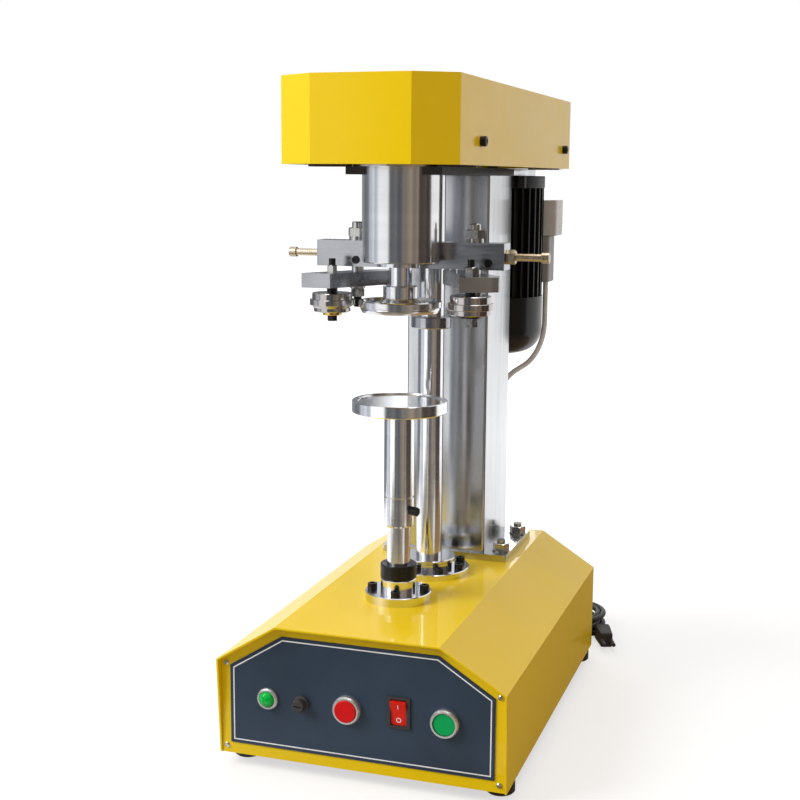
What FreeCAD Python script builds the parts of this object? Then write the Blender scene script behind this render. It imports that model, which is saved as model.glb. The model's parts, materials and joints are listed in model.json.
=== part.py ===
# Can sealing machine for the bench: a sheet-metal base with its control panel, a column, a seaming head
# with two roller arms, a vertical motor behind the column and a sheet cover over the drive.
# Millimetres. +Z is up, +X is the operator's right, +Y is the rear. The origin is on the ground, in the
# middle of the floor area that the machine covers without its cord.
import FreeCAD, Part
import math
import os
import Sketcher
from FreeCAD import Placement, Rotation, Vector

doc = FreeCAD.newDocument("CanSealingMachine")
sheet = doc.addObject("Spreadsheet::Sheet", "Sizes")

SIZES = [
    ("fit_gap", 0.3, "play between parts that are put together"),
    ("shaft_gap", 0.05, "running clearance on the radius"),
    ("foot_radius", 14.5, "rubber foot"),
    ("foot_height", 14.0, "rubber foot"),
    ("foot_inset", 15.0, "foot centre to the side of the base"),
    ("front_foot_setback", 36.0, "front foot centre behind the base's front edge"),
    ("rear_foot_setback", 17.0, "rear foot centre ahead of the base's rear edge"),
    ("base_width", 300.0, "base cover over its side walls"),
    ("base_depth", 441.0, "base cover, bottom edge, front to rear"),
    ("base_side", 101.0, "side wall of the base cover"),
    ("base_rise", 41.3, "sloping part of the base cover"),
    ("base_top_width", 170.0, "flat top of the base cover"),
    ("visor_lean", 10.0, "how far the cover's front edge leans out at its top"),
    ("sheet_wall", 2.0, "painted sheet"),
    ("tray_sheet", 3.0, "bottom tray"),
    ("tray_lip", 14.0, "bottom tray's turned-up sides"),
    ("panel_setback", 1.0, "front panel behind the cover's bottom edge"),
    ("panel_return", 12.0, "folded edge of the end panels"),
    ("plate_margin", 12.3, "dark plate inside the base's outline"),
    ("plate_thick", 1.2, "dark control plate"),
    ("panel_screw_in", 7.5, "panel screws from the base's side"),
    ("panel_screw_low", 8.0, "lower panel screws above the base's bottom edge"),
    ("panel_screw_drop", 5.0, "upper panel screws below the top of the base's side wall"),
    ("panel_screw_head", 2.8, "panel screws, head radius"),
    ("panel_screw_shank", 1.5, "panel screws, shank radius"),
    ("control_up", 64.0, "middle of the controls above the base's bottom edge"),
    ("lamp_in", 53.7, "signal lamp from the base's left side"),
    ("lamp_ring", 11.0, "signal lamp, radius of its ring"),
    ("lamp_lens", 8.2, "signal lamp, radius of its lens"),
    ("fuse_in", 89.9, "fuse holder from the base's left side"),
    ("fuse_collar", 8.0, "fuse holder, collar radius"),
    ("fuse_cap", 6.5, "fuse holder, cap radius"),
    ("red_button_x", -11.6, "stop button"),
    ("green_button_in", 61.5, "start button from the base's right side"),
    ("button_ring", 14.4, "push buttons, radius of the ring"),
    ("button_ring_depth", 6.5, "push buttons, ring in front of the plate"),
    ("button_cap", 11.2, "push buttons, radius of the cap"),
    ("button_stem", 5.0, "push buttons, radius of the stem"),
    ("button_barrel", 26.0, "push buttons behind the plate"),
    ("button_floor", 1.0, "push buttons, floor of the ring in front of the plate"),
    ("button_travel", 3.0, "push buttons"),
    ("red_cap_reach", 8.0, "stop button's cap in front of the plate"),
    ("green_cap_reach", 5.3, "start button's cap in front of the plate"),
    ("switch_x", 41.5, "rocker switch"),
    ("switch_up", 68.0, "rocker switch above the base's bottom edge"),
    ("switch_width", 23.5, "rocker switch flange"),
    ("switch_height", 31.5, "rocker switch flange"),
    ("switch_side_rim", 2.6, "rocker switch flange beside its body"),
    ("switch_end_rim", 1.4, "rocker switch flange above and below its body"),
    ("switch_wall", 1.0, "rocker switch body"),
    ("rocker_swing", 12.0, "rocker, degrees either way from level"),
    ("frame_half", 82.0, "inner frame, half its width"),
    ("frame_front_setback", 60.0, "inner frame behind the base's front edge"),
    ("frame_rear_setback", 30.0, "inner frame ahead of the base's rear edge"),
    ("frame_plate", 8.0, "inner frame, top"),
    ("frame_leg", 6.0, "inner frame, legs"),
    ("screw_shank", 2.9, "socket screws, shank radius"),
    ("screw_head", 5.0, "socket screws, head radius"),
    ("screw_head_height", 6.0, "socket screws"),
    ("cam_column_gap", 15.8, "cam shaft housing's flange ahead of the column"),
    ("shaft_spacing", 108.0, "spindle axis to cam shaft axis"),
    ("lifter_radius", 12.1, "plated lifter shaft"),
    ("lifter_low", 102.3, "lower end of the lifter shaft above the ground"),
    ("lifter_length", 202.0, "plated lifter shaft"),
    ("bush_flange_radius", 34.7, "lifter bush housing"),
    ("bush_flange", 9.5, "lifter bush housing"),
    ("bush_radius", 18.8, "lifter bush housing, barrel and spigot"),
    ("bush_barrel", 13.4, "lifter bush housing above its flange"),
    ("bush_spigot", 34.0, "lifter bush housing below the cover's top"),
    ("bush_screw_circle", 27.5, "lifter bush housing screws from the axis"),
    ("stop_collar_radius", 19.0, "black collar on the lifter shaft"),
    ("stop_collar", 15.2, "black collar on the lifter shaft"),
    ("sleeve_clear", 40.3, "sleeve above the collar"),
    ("sleeve_radius", 15.8, "seat sleeve"),
    ("sleeve_length", 120.0, "seat sleeve"),
    ("sleeve_groove_up", 31.0, "groove above the sleeve's lower end"),
    ("sleeve_roof", 12.0, "closed upper end of the seat sleeve"),
    ("set_screw_up", 18.0, "clamping screw above the sleeve's lower end"),
    ("seat_radius", 49.0, "can seat"),
    ("seat_thick", 12.4, "can seat"),
    ("seat_rim", 1.6, "raised rim of the can seat"),
    ("seat_pin", 8.0, "can seat's pin in the sleeve"),
    ("chuck_low", 458.0, "underside of the seaming chuck above the ground"),
    ("chuck_radius", 42.1, "seaming chuck"),
    ("chuck_thick", 12.2, "seaming chuck"),
    ("chuck_hub_radius", 17.5, "seaming chuck"),
    ("chuck_hub", 15.0, "seaming chuck's hub above its disc"),
    ("spindle_radius", 11.6, "spindle"),
    ("spindle_top_up", 60.5, "spindle above the head plate"),
    ("housing_low", 508.6, "underside of the spindle housing above the ground"),
    ("housing_radius", 39.0, "plated spindle housing"),
    ("housing_bore", 27.0, "spindle housing between its bearings"),
    ("housing_collar_radius", 48.0, "spindle housing on the head plate"),
    ("housing_collar", 8.0, "spindle housing on the head plate"),
    ("housing_lip", 3.0, "spindle housing under its lower bearing"),
    ("bearing_radius", 30.0, "spindle bearings"),
    ("bearing_thick", 15.0, "spindle bearings"),
    ("seal_radius", 24.0, "dark ring under the spindle housing"),
    ("seal_thick", 4.4, "dark ring under the spindle housing"),
    ("cam_shaft_radius", 14.3, "plated cam shaft"),
    ("cam_shaft_low", 99.0, "lower end of the cam shaft above the ground"),
    ("cam_shaft_top_up", 27.5, "cam shaft above the head plate"),
    ("cam_flange_radius", 45.5, "cam shaft housing"),
    ("cam_flange", 6.8, "cam shaft housing"),
    ("cam_barrel_radius", 30.0, "cam shaft housing, barrel and spigot"),
    ("cam_barrel", 11.0, "cam shaft housing above its flange"),
    ("cam_spigot", 24.0, "cam shaft housing below the cover's top"),
    ("cam_screw_circle", 37.5, "cam shaft housing screws from the axis"),
    ("cam_screws", 8, "number of cam shaft housing screws"),
    ("collar_radius", 21.9, "collar on the cam shaft"),
    ("collar_low", 431.0, "collar on the cam shaft above the ground"),
    ("collar_thick", 13.0, "collar on the cam shaft"),
    ("cam_round", 18.2, "seaming cams, round part"),
    ("cam_lift", 5.8, "seaming cams, rise of the lobe"),
    ("cam_nose", 10.0, "seaming cams, nose radius"),
    ("cam_thick", 9.0, "seaming cams"),
    ("cam_up", 3.0, "seaming cams above the arms"),
    ("cam_step", 11.5, "one seaming cam above the other"),
    ("cam_turn", 45.0, "lobe from its follower, degrees"),
    ("lift_cam_radius", 33.0, "lifting cam"),
    ("lift_cam_hub", 18.0, "lifting cam, inside of its track"),
    ("lift_cam_thick", 15.0, "lifting cam"),
    ("lift_lobe", 11.5, "depth of the lifting cam's lobe"),
    ("lift_lobe_top", 26.0, "width of the lobe at the disc"),
    ("lift_lobe_tip", 8.0, "width of the lobe at its tip"),
    ("lever_lead", 64.0, "lever pivot ahead of the cam shaft"),
    ("lever_tail", 38.0, "lever's rear roller behind the pivot"),
    ("lever_pivot_up", 93.0, "lever pivot above the ground"),
    ("lever_half", 7.0, "lifting lever, half its width"),
    ("lever_bar", 5.5, "lifting lever, half the bar's height"),
    ("lever_boss", 10.0, "lifting lever, boss radius"),
    ("lever_roller", 8.7, "lifting lever, roller radius"),
    ("lever_pin", 5.0, "lever pivot pin"),
    ("ear_thick", 6.0, "lever pivot ears"),
    ("ear_half", 10.0, "lever pivot ears, half their width"),
    ("column_setback", 290.0, "column front behind the base's front edge"),
    ("column_width", 95.0, "column tube"),
    ("column_depth", 105.0, "column tube"),
    ("column_wall", 4.0, "column tube"),
    ("column_corner", 3.0, "column tube, outer corners"),
    ("foot_plate_width", 150.0, "column foot plate"),
    ("foot_plate_depth", 126.0, "column foot plate"),
    ("foot_plate_lead", 5.0, "foot plate ahead of the column"),
    ("foot_plate", 8.0, "column foot plate"),
    ("stud_out", 2.75, "column studs outside the middle of the foot plate's flange"),
    ("stud_in", 22.0, "column studs from the foot plate's front and rear edges"),
    ("column_stud", 5.0, "column studs, radius"),
    ("column_nut", 8.5, "column nuts, half the width over the flats"),
    ("column_nut_height", 8.0, "column nuts"),
    ("plate_low", 595.5, "underside of the head plate above the ground"),
    ("head_plate", 8.0, "head plate"),
    ("head_half", 50.0, "head plate, half its width"),
    ("head_lead", 25.0, "head plate ahead of the spindle axis"),
    ("head_rear_gap", 21.0, "head plate's rear ahead of the top cover's rear"),
    ("cam_bearing_radius", 26.0, "cam shaft bearing in the head plate"),
    ("cover_half", 88.2, "top cover, half its width"),
    ("cover_front_setback", 0.4, "top cover's front behind the base's front edge"),
    ("cover_behind_motor", 62.0, "top cover's rear behind the motor axis"),
    ("cover_corner_x", 39.0, "front corners of the top cover, across"),
    ("cover_corner_y", 24.75, "front corners of the top cover, back"),
    ("cover_low", 604.7, "lower edge of the top cover above the ground"),
    ("cover_height", 82.3, "top cover"),
    ("cover_sheet", 1.5, "top cover"),
    ("cover_screw_lead", 23.4, "front cover screws ahead of the spindle axis"),
    ("cover_screw_end", 40.4, "rear cover screws ahead of the top cover's rear"),
    ("cover_screw_up", 22.8, "cover screws above the cover's lower edge"),
    ("ear_sheet", 3.0, "cover brackets on the head plate"),
    ("ear_wide", 20.0, "cover brackets on the head plate"),
    ("beam_low", 501.0, "underside of the cross beam above the ground"),
    ("beam_height", 27.0, "cross beam"),
    ("beam_depth", 25.0, "cross beam"),
    ("beam_half", 101.0, "cross beam, half its length"),
    ("beam_setback", 25.3, "cross beam's front behind the spindle axis"),
    ("beam_screw_left", -57.5, "left screw in the beam's face"),
    ("beam_screw_right", 84.7, "right screw in the beam's face"),
    ("beam_screw_up", 7.0, "screws in the beam's face above its underside"),
    ("beam_screw_head", 4.2, "screws in the beam's face, head radius"),
    ("beam_screw_length", 5.5, "screws in the beam's face"),
    ("left_pivot_x", -60.0, "left arm pivot"),
    ("right_pivot_x", 67.0, "right arm pivot"),
    ("pivot_radius", 6.3, "arm pivot studs under the beam"),
    ("pivot_stud", 6.0, "arm pivot studs in the beam"),
    ("pivot_thread", 4.2, "arm pivot studs, lower thread"),
    ("pivot_nut", 9.0, "upper pivot nuts, half the width over the flats"),
    ("pivot_low_nut", 6.5, "lower pivot nuts, half the width over the flats"),
    ("adjuster_radius", 3.75, "adjusting screws in the beam's ends"),
    ("adjuster_up", 13.0, "adjusting screws above the beam's underside"),
    ("left_adjuster", 27.7, "left adjusting screw outside the beam"),
    ("right_adjuster", 36.0, "right adjusting screw outside the beam"),
    ("adjuster_head", 5.3, "adjusting screws, head radius"),
    ("adjuster_head_length", 7.8, "adjusting screws"),
    ("arm_gap", 5.5, "roller arms below the beam"),
    ("arm_thick", 15.0, "roller arms"),
    ("arm_half", 14.5, "roller arms, half their width"),
    ("arm_tail", 10.0, "roller arms, half their width at the follower"),
    ("arm_front_lead", 12.7, "roller arms' front ahead of the spindle axis"),
    ("left_arm_out", 103.0, "left arm's outer front corner from the middle"),
    ("left_arm_in", 71.5, "left arm's inner front corner from the middle"),
    ("right_arm_in", 64.5, "right arm's inner front corner from the middle"),
    ("right_arm_nose", 92.0, "right arm's front edge, outer end"),
    ("right_arm_out", 100.5, "right arm's outer side"),
    ("follower_radius", 8.7, "cam followers"),
    ("follower_thick", 8.4, "cam followers"),
    ("follower_angle", 31.5, "followers from the machine's cross line through the cam shaft, degrees"),
    ("follower_pin", 4.0, "cam follower pins"),
    ("roller_setback", 1.3, "seaming rollers behind the spindle axis"),
    ("left_roller_x", -74.5, "left seaming roller"),
    ("right_roller_x", 73.5, "right seaming roller"),
    ("roller_bolt", 3.5, "seaming roller bolts"),
    ("left_bolt_half", 4.6, "left roller bolt, half across its flats"),
    ("left_bolt_head", 5.9, "left roller bolt's head"),
    ("left_bolt_washer", 3.4, "left roller bolt's washer"),
    ("left_bolt_nut", 8.1, "left roller bolt's nut"),
    ("left_bolt_tip", 6.8, "left roller bolt above its nut"),
    ("right_bolt_half", 6.5, "right roller bolt, half across its flats"),
    ("right_bolt_head", 9.0, "right roller bolt's head"),
    ("right_bolt_washer", 2.4, "right roller bolt's washer"),
    ("right_bolt_nut", 10.0, "right roller bolt's nut"),
    ("right_bolt_tip", 7.3, "right roller bolt above its nut"),
    ("fan_shaft", 40.0, "motor shaft below the motor"),
    ("fan_drop", 18.0, "fan's disc below the motor"),
    ("fan_blade", 16.0, "fan blades"),
    ("rotor_gap", 10.0, "rotor's core inside the motor's ends"),
    ("roller_drum", 20.8, "seaming rollers"),
    ("roller_rim", 23.2, "seaming rollers"),
    ("left_roller_drop", 5.2, "left seaming roller below its arm"),
    ("right_roller_drop", 3.5, "right seaming roller below its arm"),
    ("roller_height", 19.6, "seaming rollers"),
    ("motor_x", 5.0, "motor axis from the middle"),
    ("motor_back", 69.0, "motor axis behind the column"),
    ("motor_cap_radius", 65.0, "motor end cap"),
    ("motor_cap", 14.5, "motor end cap"),
    ("motor_lug", 7.5, "motor end cap's bolt lugs"),
    ("motor_body", 132.0, "motor body"),
    ("motor_core", 57.0, "motor body under its fins"),
    ("motor_bore", 32.0, "motor body, inside"),
    ("motor_fin", 64.0, "motor body over its fins"),
    ("motor_fin_thick", 2.4, "motor body, one fin"),
    ("motor_fins", 36, "number of fins"),
    ("motor_shaft", 7.0, "motor shaft"),
    ("rotor_radius", 30.0, "motor rotor"),
    ("fan_radius", 50.0, "cooling fan"),
    ("cowl_radius", 64.8, "fan cowl"),
    ("cowl_height", 71.0, "fan cowl"),
    ("cowl_round", 30.0, "fan cowl, lower edge"),
    ("cowl_sheet", 1.5, "fan cowl"),
    ("gear_module", 1.5, "spindle gears"),
    ("pinion_teeth", 36, "pinion on the spindle"),
    ("gear_teeth", 108, "gear on the cam shaft"),
    ("gear_face", 12.0, "spindle gears"),
    ("gear_up", 12.5, "gears above the head plate"),
    ("pulley_belt", 54.0, "belt's middle line round the spindle"),
    ("motor_belt", 24.0, "belt's middle line round the motor shaft"),
    ("pulley_face", 18.0, "belt pulleys"),
    ("pulley_up", 31.0, "belt pulleys above the head plate"),
    ("pulley_flange", 4.0, "pulley flanges outside the belt's middle line"),
    ("belt_thick", 6.0, "drive belt"),
    ("belt_wide", 11.0, "drive belt"),
    ("box_in", 42.0, "terminal box's left side from the middle"),
    ("box_out", 82.0, "terminal box's right side from the middle"),
    ("box_front_setback", 24.0, "terminal box's front behind the motor axis"),
    ("box_deep", 38.0, "terminal box"),
    ("box_low", 522.0, "terminal box above the ground"),
    ("box_tall", 44.0, "terminal box"),
    ("capacitor_out", 73.0, "grey box's right side from the middle"),
    ("capacitor_deep", 32.0, "grey box under the terminal box"),
    ("capacitor_tall", 57.7, "grey box under the terminal box"),
    ("cable_radius", 3.2, "motor cable"),
    ("cable_x", 22.0, "motor cable in the base's top, from the middle"),
    ("cable_back", 8.0, "motor cable behind the foot plate"),
    ("cord_radius", 3.5, "power cord"),
    ("gland_up", 18.0, "cord gland above the base's bottom edge"),
    ("gland_nut", 10.0, "cord gland, half the width over the flats"),
    ("gland_length", 18.0, "cord gland outside the rear panel"),
    ("coil_x", 104.0, "cord coil from the middle"),
    ("coil_middle", 38.5, "cord coil, middle of its turns"),
    ("turn_overlap", 0.2, "how far the coil's turns press into each other"),
    ("plug_length", 38.0, "plug"),
    ("plug_half", 9.5, "plug, half its width"),
    ("plug_turn", 20.0, "plug off the machine's length, degrees"),
]
OVER = 5.0


class Term:
    """A size as the sheet's formula, with its present value beside it."""

    def __init__(self, text, value):
        self.text = text
        self.value = float(value)

    def __add__(self, other):
        other = term(other)
        return Term(f"({self.text} + {other.text})", self.value + other.value)

    def __sub__(self, other):
        other = term(other)
        return Term(f"({self.text} - {other.text})", self.value - other.value)

    def __mul__(self, other):
        other = term(other)
        return Term(f"({self.text} * {other.text})", self.value * other.value)

    def __truediv__(self, other):
        other = term(other)
        return Term(f"({self.text} / {other.text})", self.value / other.value)

    def __radd__(self, other):
        return term(other) + self

    def __rsub__(self, other):
        return term(other) - self

    def __rmul__(self, other):
        return term(other) * self

    def __neg__(self):
        return term(0) - self


def term(value):
    if isinstance(value, Term):
        return value
    return Term(f"{value:.6f}", value)


def root(value):
    return Term(f"sqrt({value.text})", math.sqrt(value.value))


def sine(degrees):
    degrees = term(degrees)
    return Term(f"sin({degrees.text} * 1 deg)", math.sin(math.radians(degrees.value)))


def cosine(degrees):
    degrees = term(degrees)
    return Term(f"cos({degrees.text} * 1 deg)", math.cos(math.radians(degrees.value)))


class Dimensions:
    """The sheet's named sizes, each as a term."""


d = Dimensions()
for row, (alias, size, note) in enumerate(SIZES, start=1):
    sheet.set(f"A{row}", note)
    sheet.set(f"B{row}", str(size))
    sheet.setAlias(f"B{row}", alias)
    setattr(d, alias, Term(f"Sizes.{alias}", size))
doc.recompute()

# Places that follow from the sizes.
cover_rear_setback = d.column_setback + d.column_depth + d.motor_back + d.cover_behind_motor
front = (d.visor_lean - cover_rear_setback) / 2
rear = front + d.base_depth
base_low = d.foot_height
base_top = base_low + d.base_side + d.base_rise
frame_top = base_top - d.sheet_wall
frame_low = frame_top - d.frame_plate
frame_front = front + d.frame_front_setback
frame_back = rear - d.frame_rear_setback
tray_top = base_low + d.tray_sheet
panel_y = front + d.panel_setback
plate_y = panel_y - d.plate_thick
control_z = base_low + d.control_up
switch_z = base_low + d.switch_up
column_front = front + d.column_setback
cam_y = column_front - d.cam_column_gap - d.cam_flange_radius
spindle_y = cam_y - d.shaft_spacing
plate_top = d.plate_low + d.head_plate
gear_low = plate_top + d.gear_up
pulley_low = plate_top + d.pulley_up
belt_low = pulley_low + (d.pulley_face - d.belt_wide) / 2
motor_y = column_front + d.column_depth + d.motor_back
foot_plate_front = column_front - d.foot_plate_lead
foot_plate_middle = foot_plate_front + d.foot_plate_depth / 2
foot_plate_top = base_top + d.foot_plate
cable_y = foot_plate_front + d.foot_plate_depth + d.cable_back
barrel_top = base_top + d.bush_flange + d.bush_barrel
collar_top = barrel_top + d.fit_gap + d.stop_collar
sleeve_low = collar_top + d.sleeve_clear
sleeve_top = sleeve_low + d.sleeve_length
beam_front = spindle_y + d.beam_setback
beam_middle = beam_front + d.beam_depth / 2
beam_top = d.beam_low + d.beam_height
arm_top = d.beam_low - d.arm_gap
arm_low = arm_top - d.arm_thick
roller_y = spindle_y + d.roller_setback
left_cam_low = arm_top + d.cam_up
right_cam_low = left_cam_low + d.cam_step
lever_y = cam_y - d.lever_lead
motor_cap_low = d.plate_low - d.motor_cap
motor_low = motor_cap_low - d.motor_body
cowl_low = motor_low - d.cowl_height
pinion_radius = d.gear_module * d.pinion_teeth / 2
gear_radius = d.shaft_spacing - pinion_radius
follower_reach = d.cam_round + d.cam_lift + d.follower_radius + d.fit_gap
follower_y = cam_y - follower_reach * sine(d.follower_angle)
follower_x = follower_reach * cosine(d.follower_angle)
cable_hole = d.cable_radius + d.fit_gap
lift_cam_low = d.lever_pivot_up + d.lever_roller + d.fit_gap + d.lift_lobe
lamp_x = d.lamp_in - d.base_width / 2
fuse_x = d.fuse_in - d.base_width / 2
green_button_x = d.base_width / 2 - d.green_button_in
cover_screw_setbacks = (spindle_y - front - d.cover_screw_lead, cover_rear_setback - d.cover_screw_end)

UPRIGHT = Rotation()
TO_RIGHT = Rotation(Vector(0, 1, 0), 90)
TO_LEFT = Rotation(Vector(0, 1, 0), -90)
TO_REAR = Rotation(Vector(1, 0, 0), -90)
TO_FRONT = Rotation(Vector(1, 0, 0), 90)

nodes = {}
count = {}


def label(kind):
    count[kind] = count.get(kind, 0) + 1
    return f"{kind}{count[kind]}"


def bind(item, prop, value):
    item.setExpression(prop, term(value).text)


def place(item, x=0, y=0, z=0, turn=UPRIGHT):
    x, y, z = term(x), term(y), term(z)
    item.Placement = Placement(Vector(x.value, y.value, z.value), turn)
    for axis, value in zip("xyz", (x, y, z)):
        bind(item, f"Placement.Base.{axis}", value)
    return item


def box(x0, x1, y0, y1, z0, z1):
    item = doc.addObject("Part::Box", label("Block"))
    bind(item, "Length", term(x1) - x0)
    bind(item, "Width", term(y1) - y0)
    bind(item, "Height", term(z1) - z0)
    return place(item, x0, y0, z0)


def rod(radius, length, x=0, y=0, z=0, turn=UPRIGHT):
    item = doc.addObject("Part::Cylinder", label("Rod"))
    bind(item, "Radius", radius)
    bind(item, "Height", length)
    return place(item, x, y, z, turn)


def through(radius, x, y, z0, z1):
    """The tool for an upright hole that passes from z0 to z1."""
    return rod(radius, term(z1) - z0 + 2 * OVER, x, y, term(z0) - OVER)


def hexagon(half_width, length, x=0, y=0, z=0, turn=UPRIGHT):
    item = doc.addObject("Part::Prism", label("Hexagon"))
    item.Polygon = 6
    bind(item, "Circumradius", half_width * (2 / math.sqrt(3)))
    bind(item, "Height", length)
    return place(item, x, y, z, turn)


def ring(radius, tube, x, y, z):
    item = doc.addObject("Part::Torus", label("Turn"))
    bind(item, "Radius1", radius)
    bind(item, "Radius2", tube)
    return place(item, x, y, z)


def fuse(*parts):
    item = doc.addObject("Part::MultiFuse", label("Union"))
    item.Shapes = list(parts)
    item.Refine = True
    return item


def group(*parts):
    item = doc.addObject("Part::Compound", label("Set"))
    item.Links = list(parts)
    return item


def cut(base, *tools):
    item = doc.addObject("Part::Cut", label("Cut"))
    item.Base = base
    item.Tool = tools[0] if len(tools) == 1 else group(*tools)
    return item


def common(first, second):
    item = doc.addObject("Part::Common", label("Common"))
    item.Base = first
    item.Tool = second
    return item


def node(name, item):
    item.Label = name
    nodes[name] = item
    return item


def new_body():
    return doc.addObject("PartDesign::Body", label("Body"))


def outline(body, role, points, rings=()):
    """A sketch of one closed path of straight lines, and of circles given as (x, y, radius)."""
    drawing = body.newObject("Sketcher::SketchObject", label("Sketch"))
    plane = [item for item in body.Origin.OriginFeatures if item.Role == role][0]
    drawing.AttachmentSupport = [(plane, "")]
    drawing.MapMode = "FlatFace"
    corners = [(term(x), term(y)) for x, y in points]
    spots = [Vector(x.value, y.value, 0) for x, y in corners]
    for spot, following in zip(spots, spots[1:] + spots[:1]):
        drawing.addGeometry(Part.LineSegment(spot, following))
    for index, (x, y) in enumerate(corners):
        fix_place(drawing, index, 1, x, y)
        following = (index + 1) % len(corners)
        drawing.addConstraint(Sketcher.Constraint("Coincident", index, 2, following, 1))
    for x, y, radius in rings:
        x, y, radius = term(x), term(y), term(radius)
        circle = Part.Circle(Vector(x.value, y.value, 0), Vector(0, 0, 1), radius.value)
        index = drawing.addGeometry(circle)
        fix_place(drawing, index, 3, x, y)
        number = drawing.addConstraint(Sketcher.Constraint("Radius", index, radius.value))
        drawing.setExpression(f"Constraints[{number}]", radius.text)
    return drawing


def fix_place(drawing, index, point, x, y):
    for kind, value in (("DistanceX", x), ("DistanceY", y)):
        number = drawing.addConstraint(Sketcher.Constraint(kind, -1, 1, index, point, value.value))
        drawing.setExpression(f"Constraints[{number}]", value.text)


def turned(points, x=0, y=0, z=0, turn=UPRIGHT):
    """A solid of revolution from (radius, height) points."""
    body = new_body()
    drawing = outline(body, "XZ_Plane", points)
    lathe = body.newObject("PartDesign::Revolution", label("Revolution"))
    lathe.Profile = drawing
    lathe.ReferenceAxis = (drawing, ["V_Axis"])
    lathe.Angle = 360
    return place(body, x, y, z, turn)


def padded(role, points, length, rings=(), x=0, y=0, z=0):
    """A sketch made solid along its plane's normal: up, to the right or to the front."""
    body = new_body()
    drawing = outline(body, role, points, rings)
    pad = body.newObject("PartDesign::Pad", label("Pad"))
    pad.Profile = drawing
    bind(pad, "Length", length)
    return place(body, x, y, z)


def softened(body, radius, wanted):
    """Rounds those edges of a body's last feature that wanted(edge) picks."""
    doc.recompute()
    last = body.Tip
    names = [f"Edge{n}" for n, edge in enumerate(last.Shape.Edges, start=1) if wanted(edge)]
    fillet = body.newObject("PartDesign::Fillet", label("Fillet"))
    fillet.Base = (last, names)
    bind(fillet, "Radius", radius)
    return body


def is_upright(edge):
    return abs(edge.tangentAt(edge.FirstParameter).z) > 0.9


def block_outline(x0, x1, y0, y1):
    return [(x0, y0), (x1, y0), (x1, y1), (x0, y1)]


def shaped(shape, x=0, y=0, z=0):
    """A solid worked out from the sheet's sizes, put in its place."""
    item = doc.addObject("Part::Feature", label("Form"))
    item.Shape = shape
    return place(item, x, y, z)


def ring_places(radius, number, first, x, y):
    """Places on a circle: number of them, the first at an angle in degrees."""
    angles = [first + index * 360 / number for index in range(int(number))]
    return [(x + radius * cosine(angle), y + radius * sine(angle)) for angle in angles]


def base_outline(margin, low):
    """The base's outline drawn in by a margin, from the lower left corner, clockwise."""
    margin = term(margin)
    run = (d.base_width - d.base_top_width) / 2
    slant = root(run * run + d.base_rise * d.base_rise)
    wide = d.base_width / 2 - margin
    shoulder = d.base_side + margin * (d.base_rise - slant) / run
    narrow = d.base_top_width / 2 + margin * (run - slant) / d.base_rise
    high = d.base_side + d.base_rise - margin
    half = [(wide, low), (wide, shoulder), (narrow, high)]
    return [(-x, z) for x, z in half] + half[::-1]


def column_stud_places():
    x = (d.column_width + d.foot_plate_width) / 4 + d.stud_out
    y = d.foot_plate_depth / 2 - d.stud_in
    return [(x * side, foot_plate_middle + y * end) for side in (-1, 1) for end in (-1, 1)]


def bush_screw_places():
    return ring_places(d.bush_screw_circle, 4, 12, 0, spindle_y)


def cam_screw_places():
    return ring_places(d.cam_screw_circle, d.cam_screws.value, -10, 0, cam_y)


def make_base_cover():
    outer = base_outline(0, 0)
    inner = base_outline(d.sheet_wall, 0)
    shell = padded("XZ_Plane", outer + inner[::-1], d.base_depth + d.visor_lean, y=rear, z=base_low)
    high = d.base_side + d.base_rise
    lean = d.visor_lean / high
    far = -d.visor_lean - 2 * OVER
    trim = [(far, -OVER), (lean * OVER, -OVER), (-lean * (high + OVER), high + OVER), (far, high + OVER)]
    half = d.base_width / 2 + OVER
    tools = [padded("YZ_Plane", trim, half * 2, x=-half, y=front, z=base_low)]
    tools.append(through(d.bush_radius + d.fit_gap, 0, spindle_y, frame_top, base_top))
    tools.append(through(d.cam_barrel_radius + d.fit_gap, 0, cam_y, frame_top, base_top))
    tools.append(through(cable_hole, d.cable_x, cable_y, frame_top, base_top))
    for x, y in column_stud_places():
        tools.append(through(d.column_stud + d.fit_gap, x, y, frame_top, base_top))
    for x, y in bush_screw_places() + cam_screw_places():
        tools.append(through(d.screw_shank + d.fit_gap, x, y, frame_top, base_top))
    node("base_cover", cut(shell, *tools))


def folded_panel(back, skin_back):
    """A panel with a folded edge all round; both values are where its rear faces lie."""
    gap = d.sheet_wall + d.fit_gap
    skin_outline = base_outline(gap, d.fit_gap)
    inner_outline = base_outline(gap + d.sheet_wall, d.fit_gap + d.sheet_wall)
    skin = padded("XZ_Plane", skin_outline, d.sheet_wall, y=skin_back, z=base_low)
    block = padded("XZ_Plane", skin_outline, d.panel_return, y=back, z=base_low)
    hollow = padded("XZ_Plane", inner_outline, d.panel_return + 2 * OVER, y=back + OVER, z=base_low)
    return fuse(skin, cut(block, hollow))


def switch_block(half_x, half_z, y0, y1):
    return box(d.switch_x - half_x, d.switch_x + half_x, y0, y1, switch_z - half_z, switch_z + half_z)


def switch_body_half():
    return d.switch_width / 2 - d.switch_side_rim, d.switch_height / 2 - d.switch_end_rim


def control_holes():
    """Tools for the controls' holes in the front panel and its dark plate."""
    y = panel_y + d.sheet_wall + OVER
    deep = d.sheet_wall + d.plate_thick + 2 * OVER
    tools = [rod(d.lamp_lens + d.fit_gap, deep, lamp_x, y, control_z, TO_FRONT)]
    tools.append(rod(d.fuse_cap + d.fit_gap, deep, fuse_x, y, control_z, TO_FRONT))
    for x in (d.red_button_x, green_button_x):
        tools.append(rod(d.button_cap + d.fit_gap, deep, x, y, control_z, TO_FRONT))
    half_x, half_z = switch_body_half()
    tools.append(switch_block(half_x + d.fit_gap, half_z + d.fit_gap, y - deep, y))
    return tools


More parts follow.
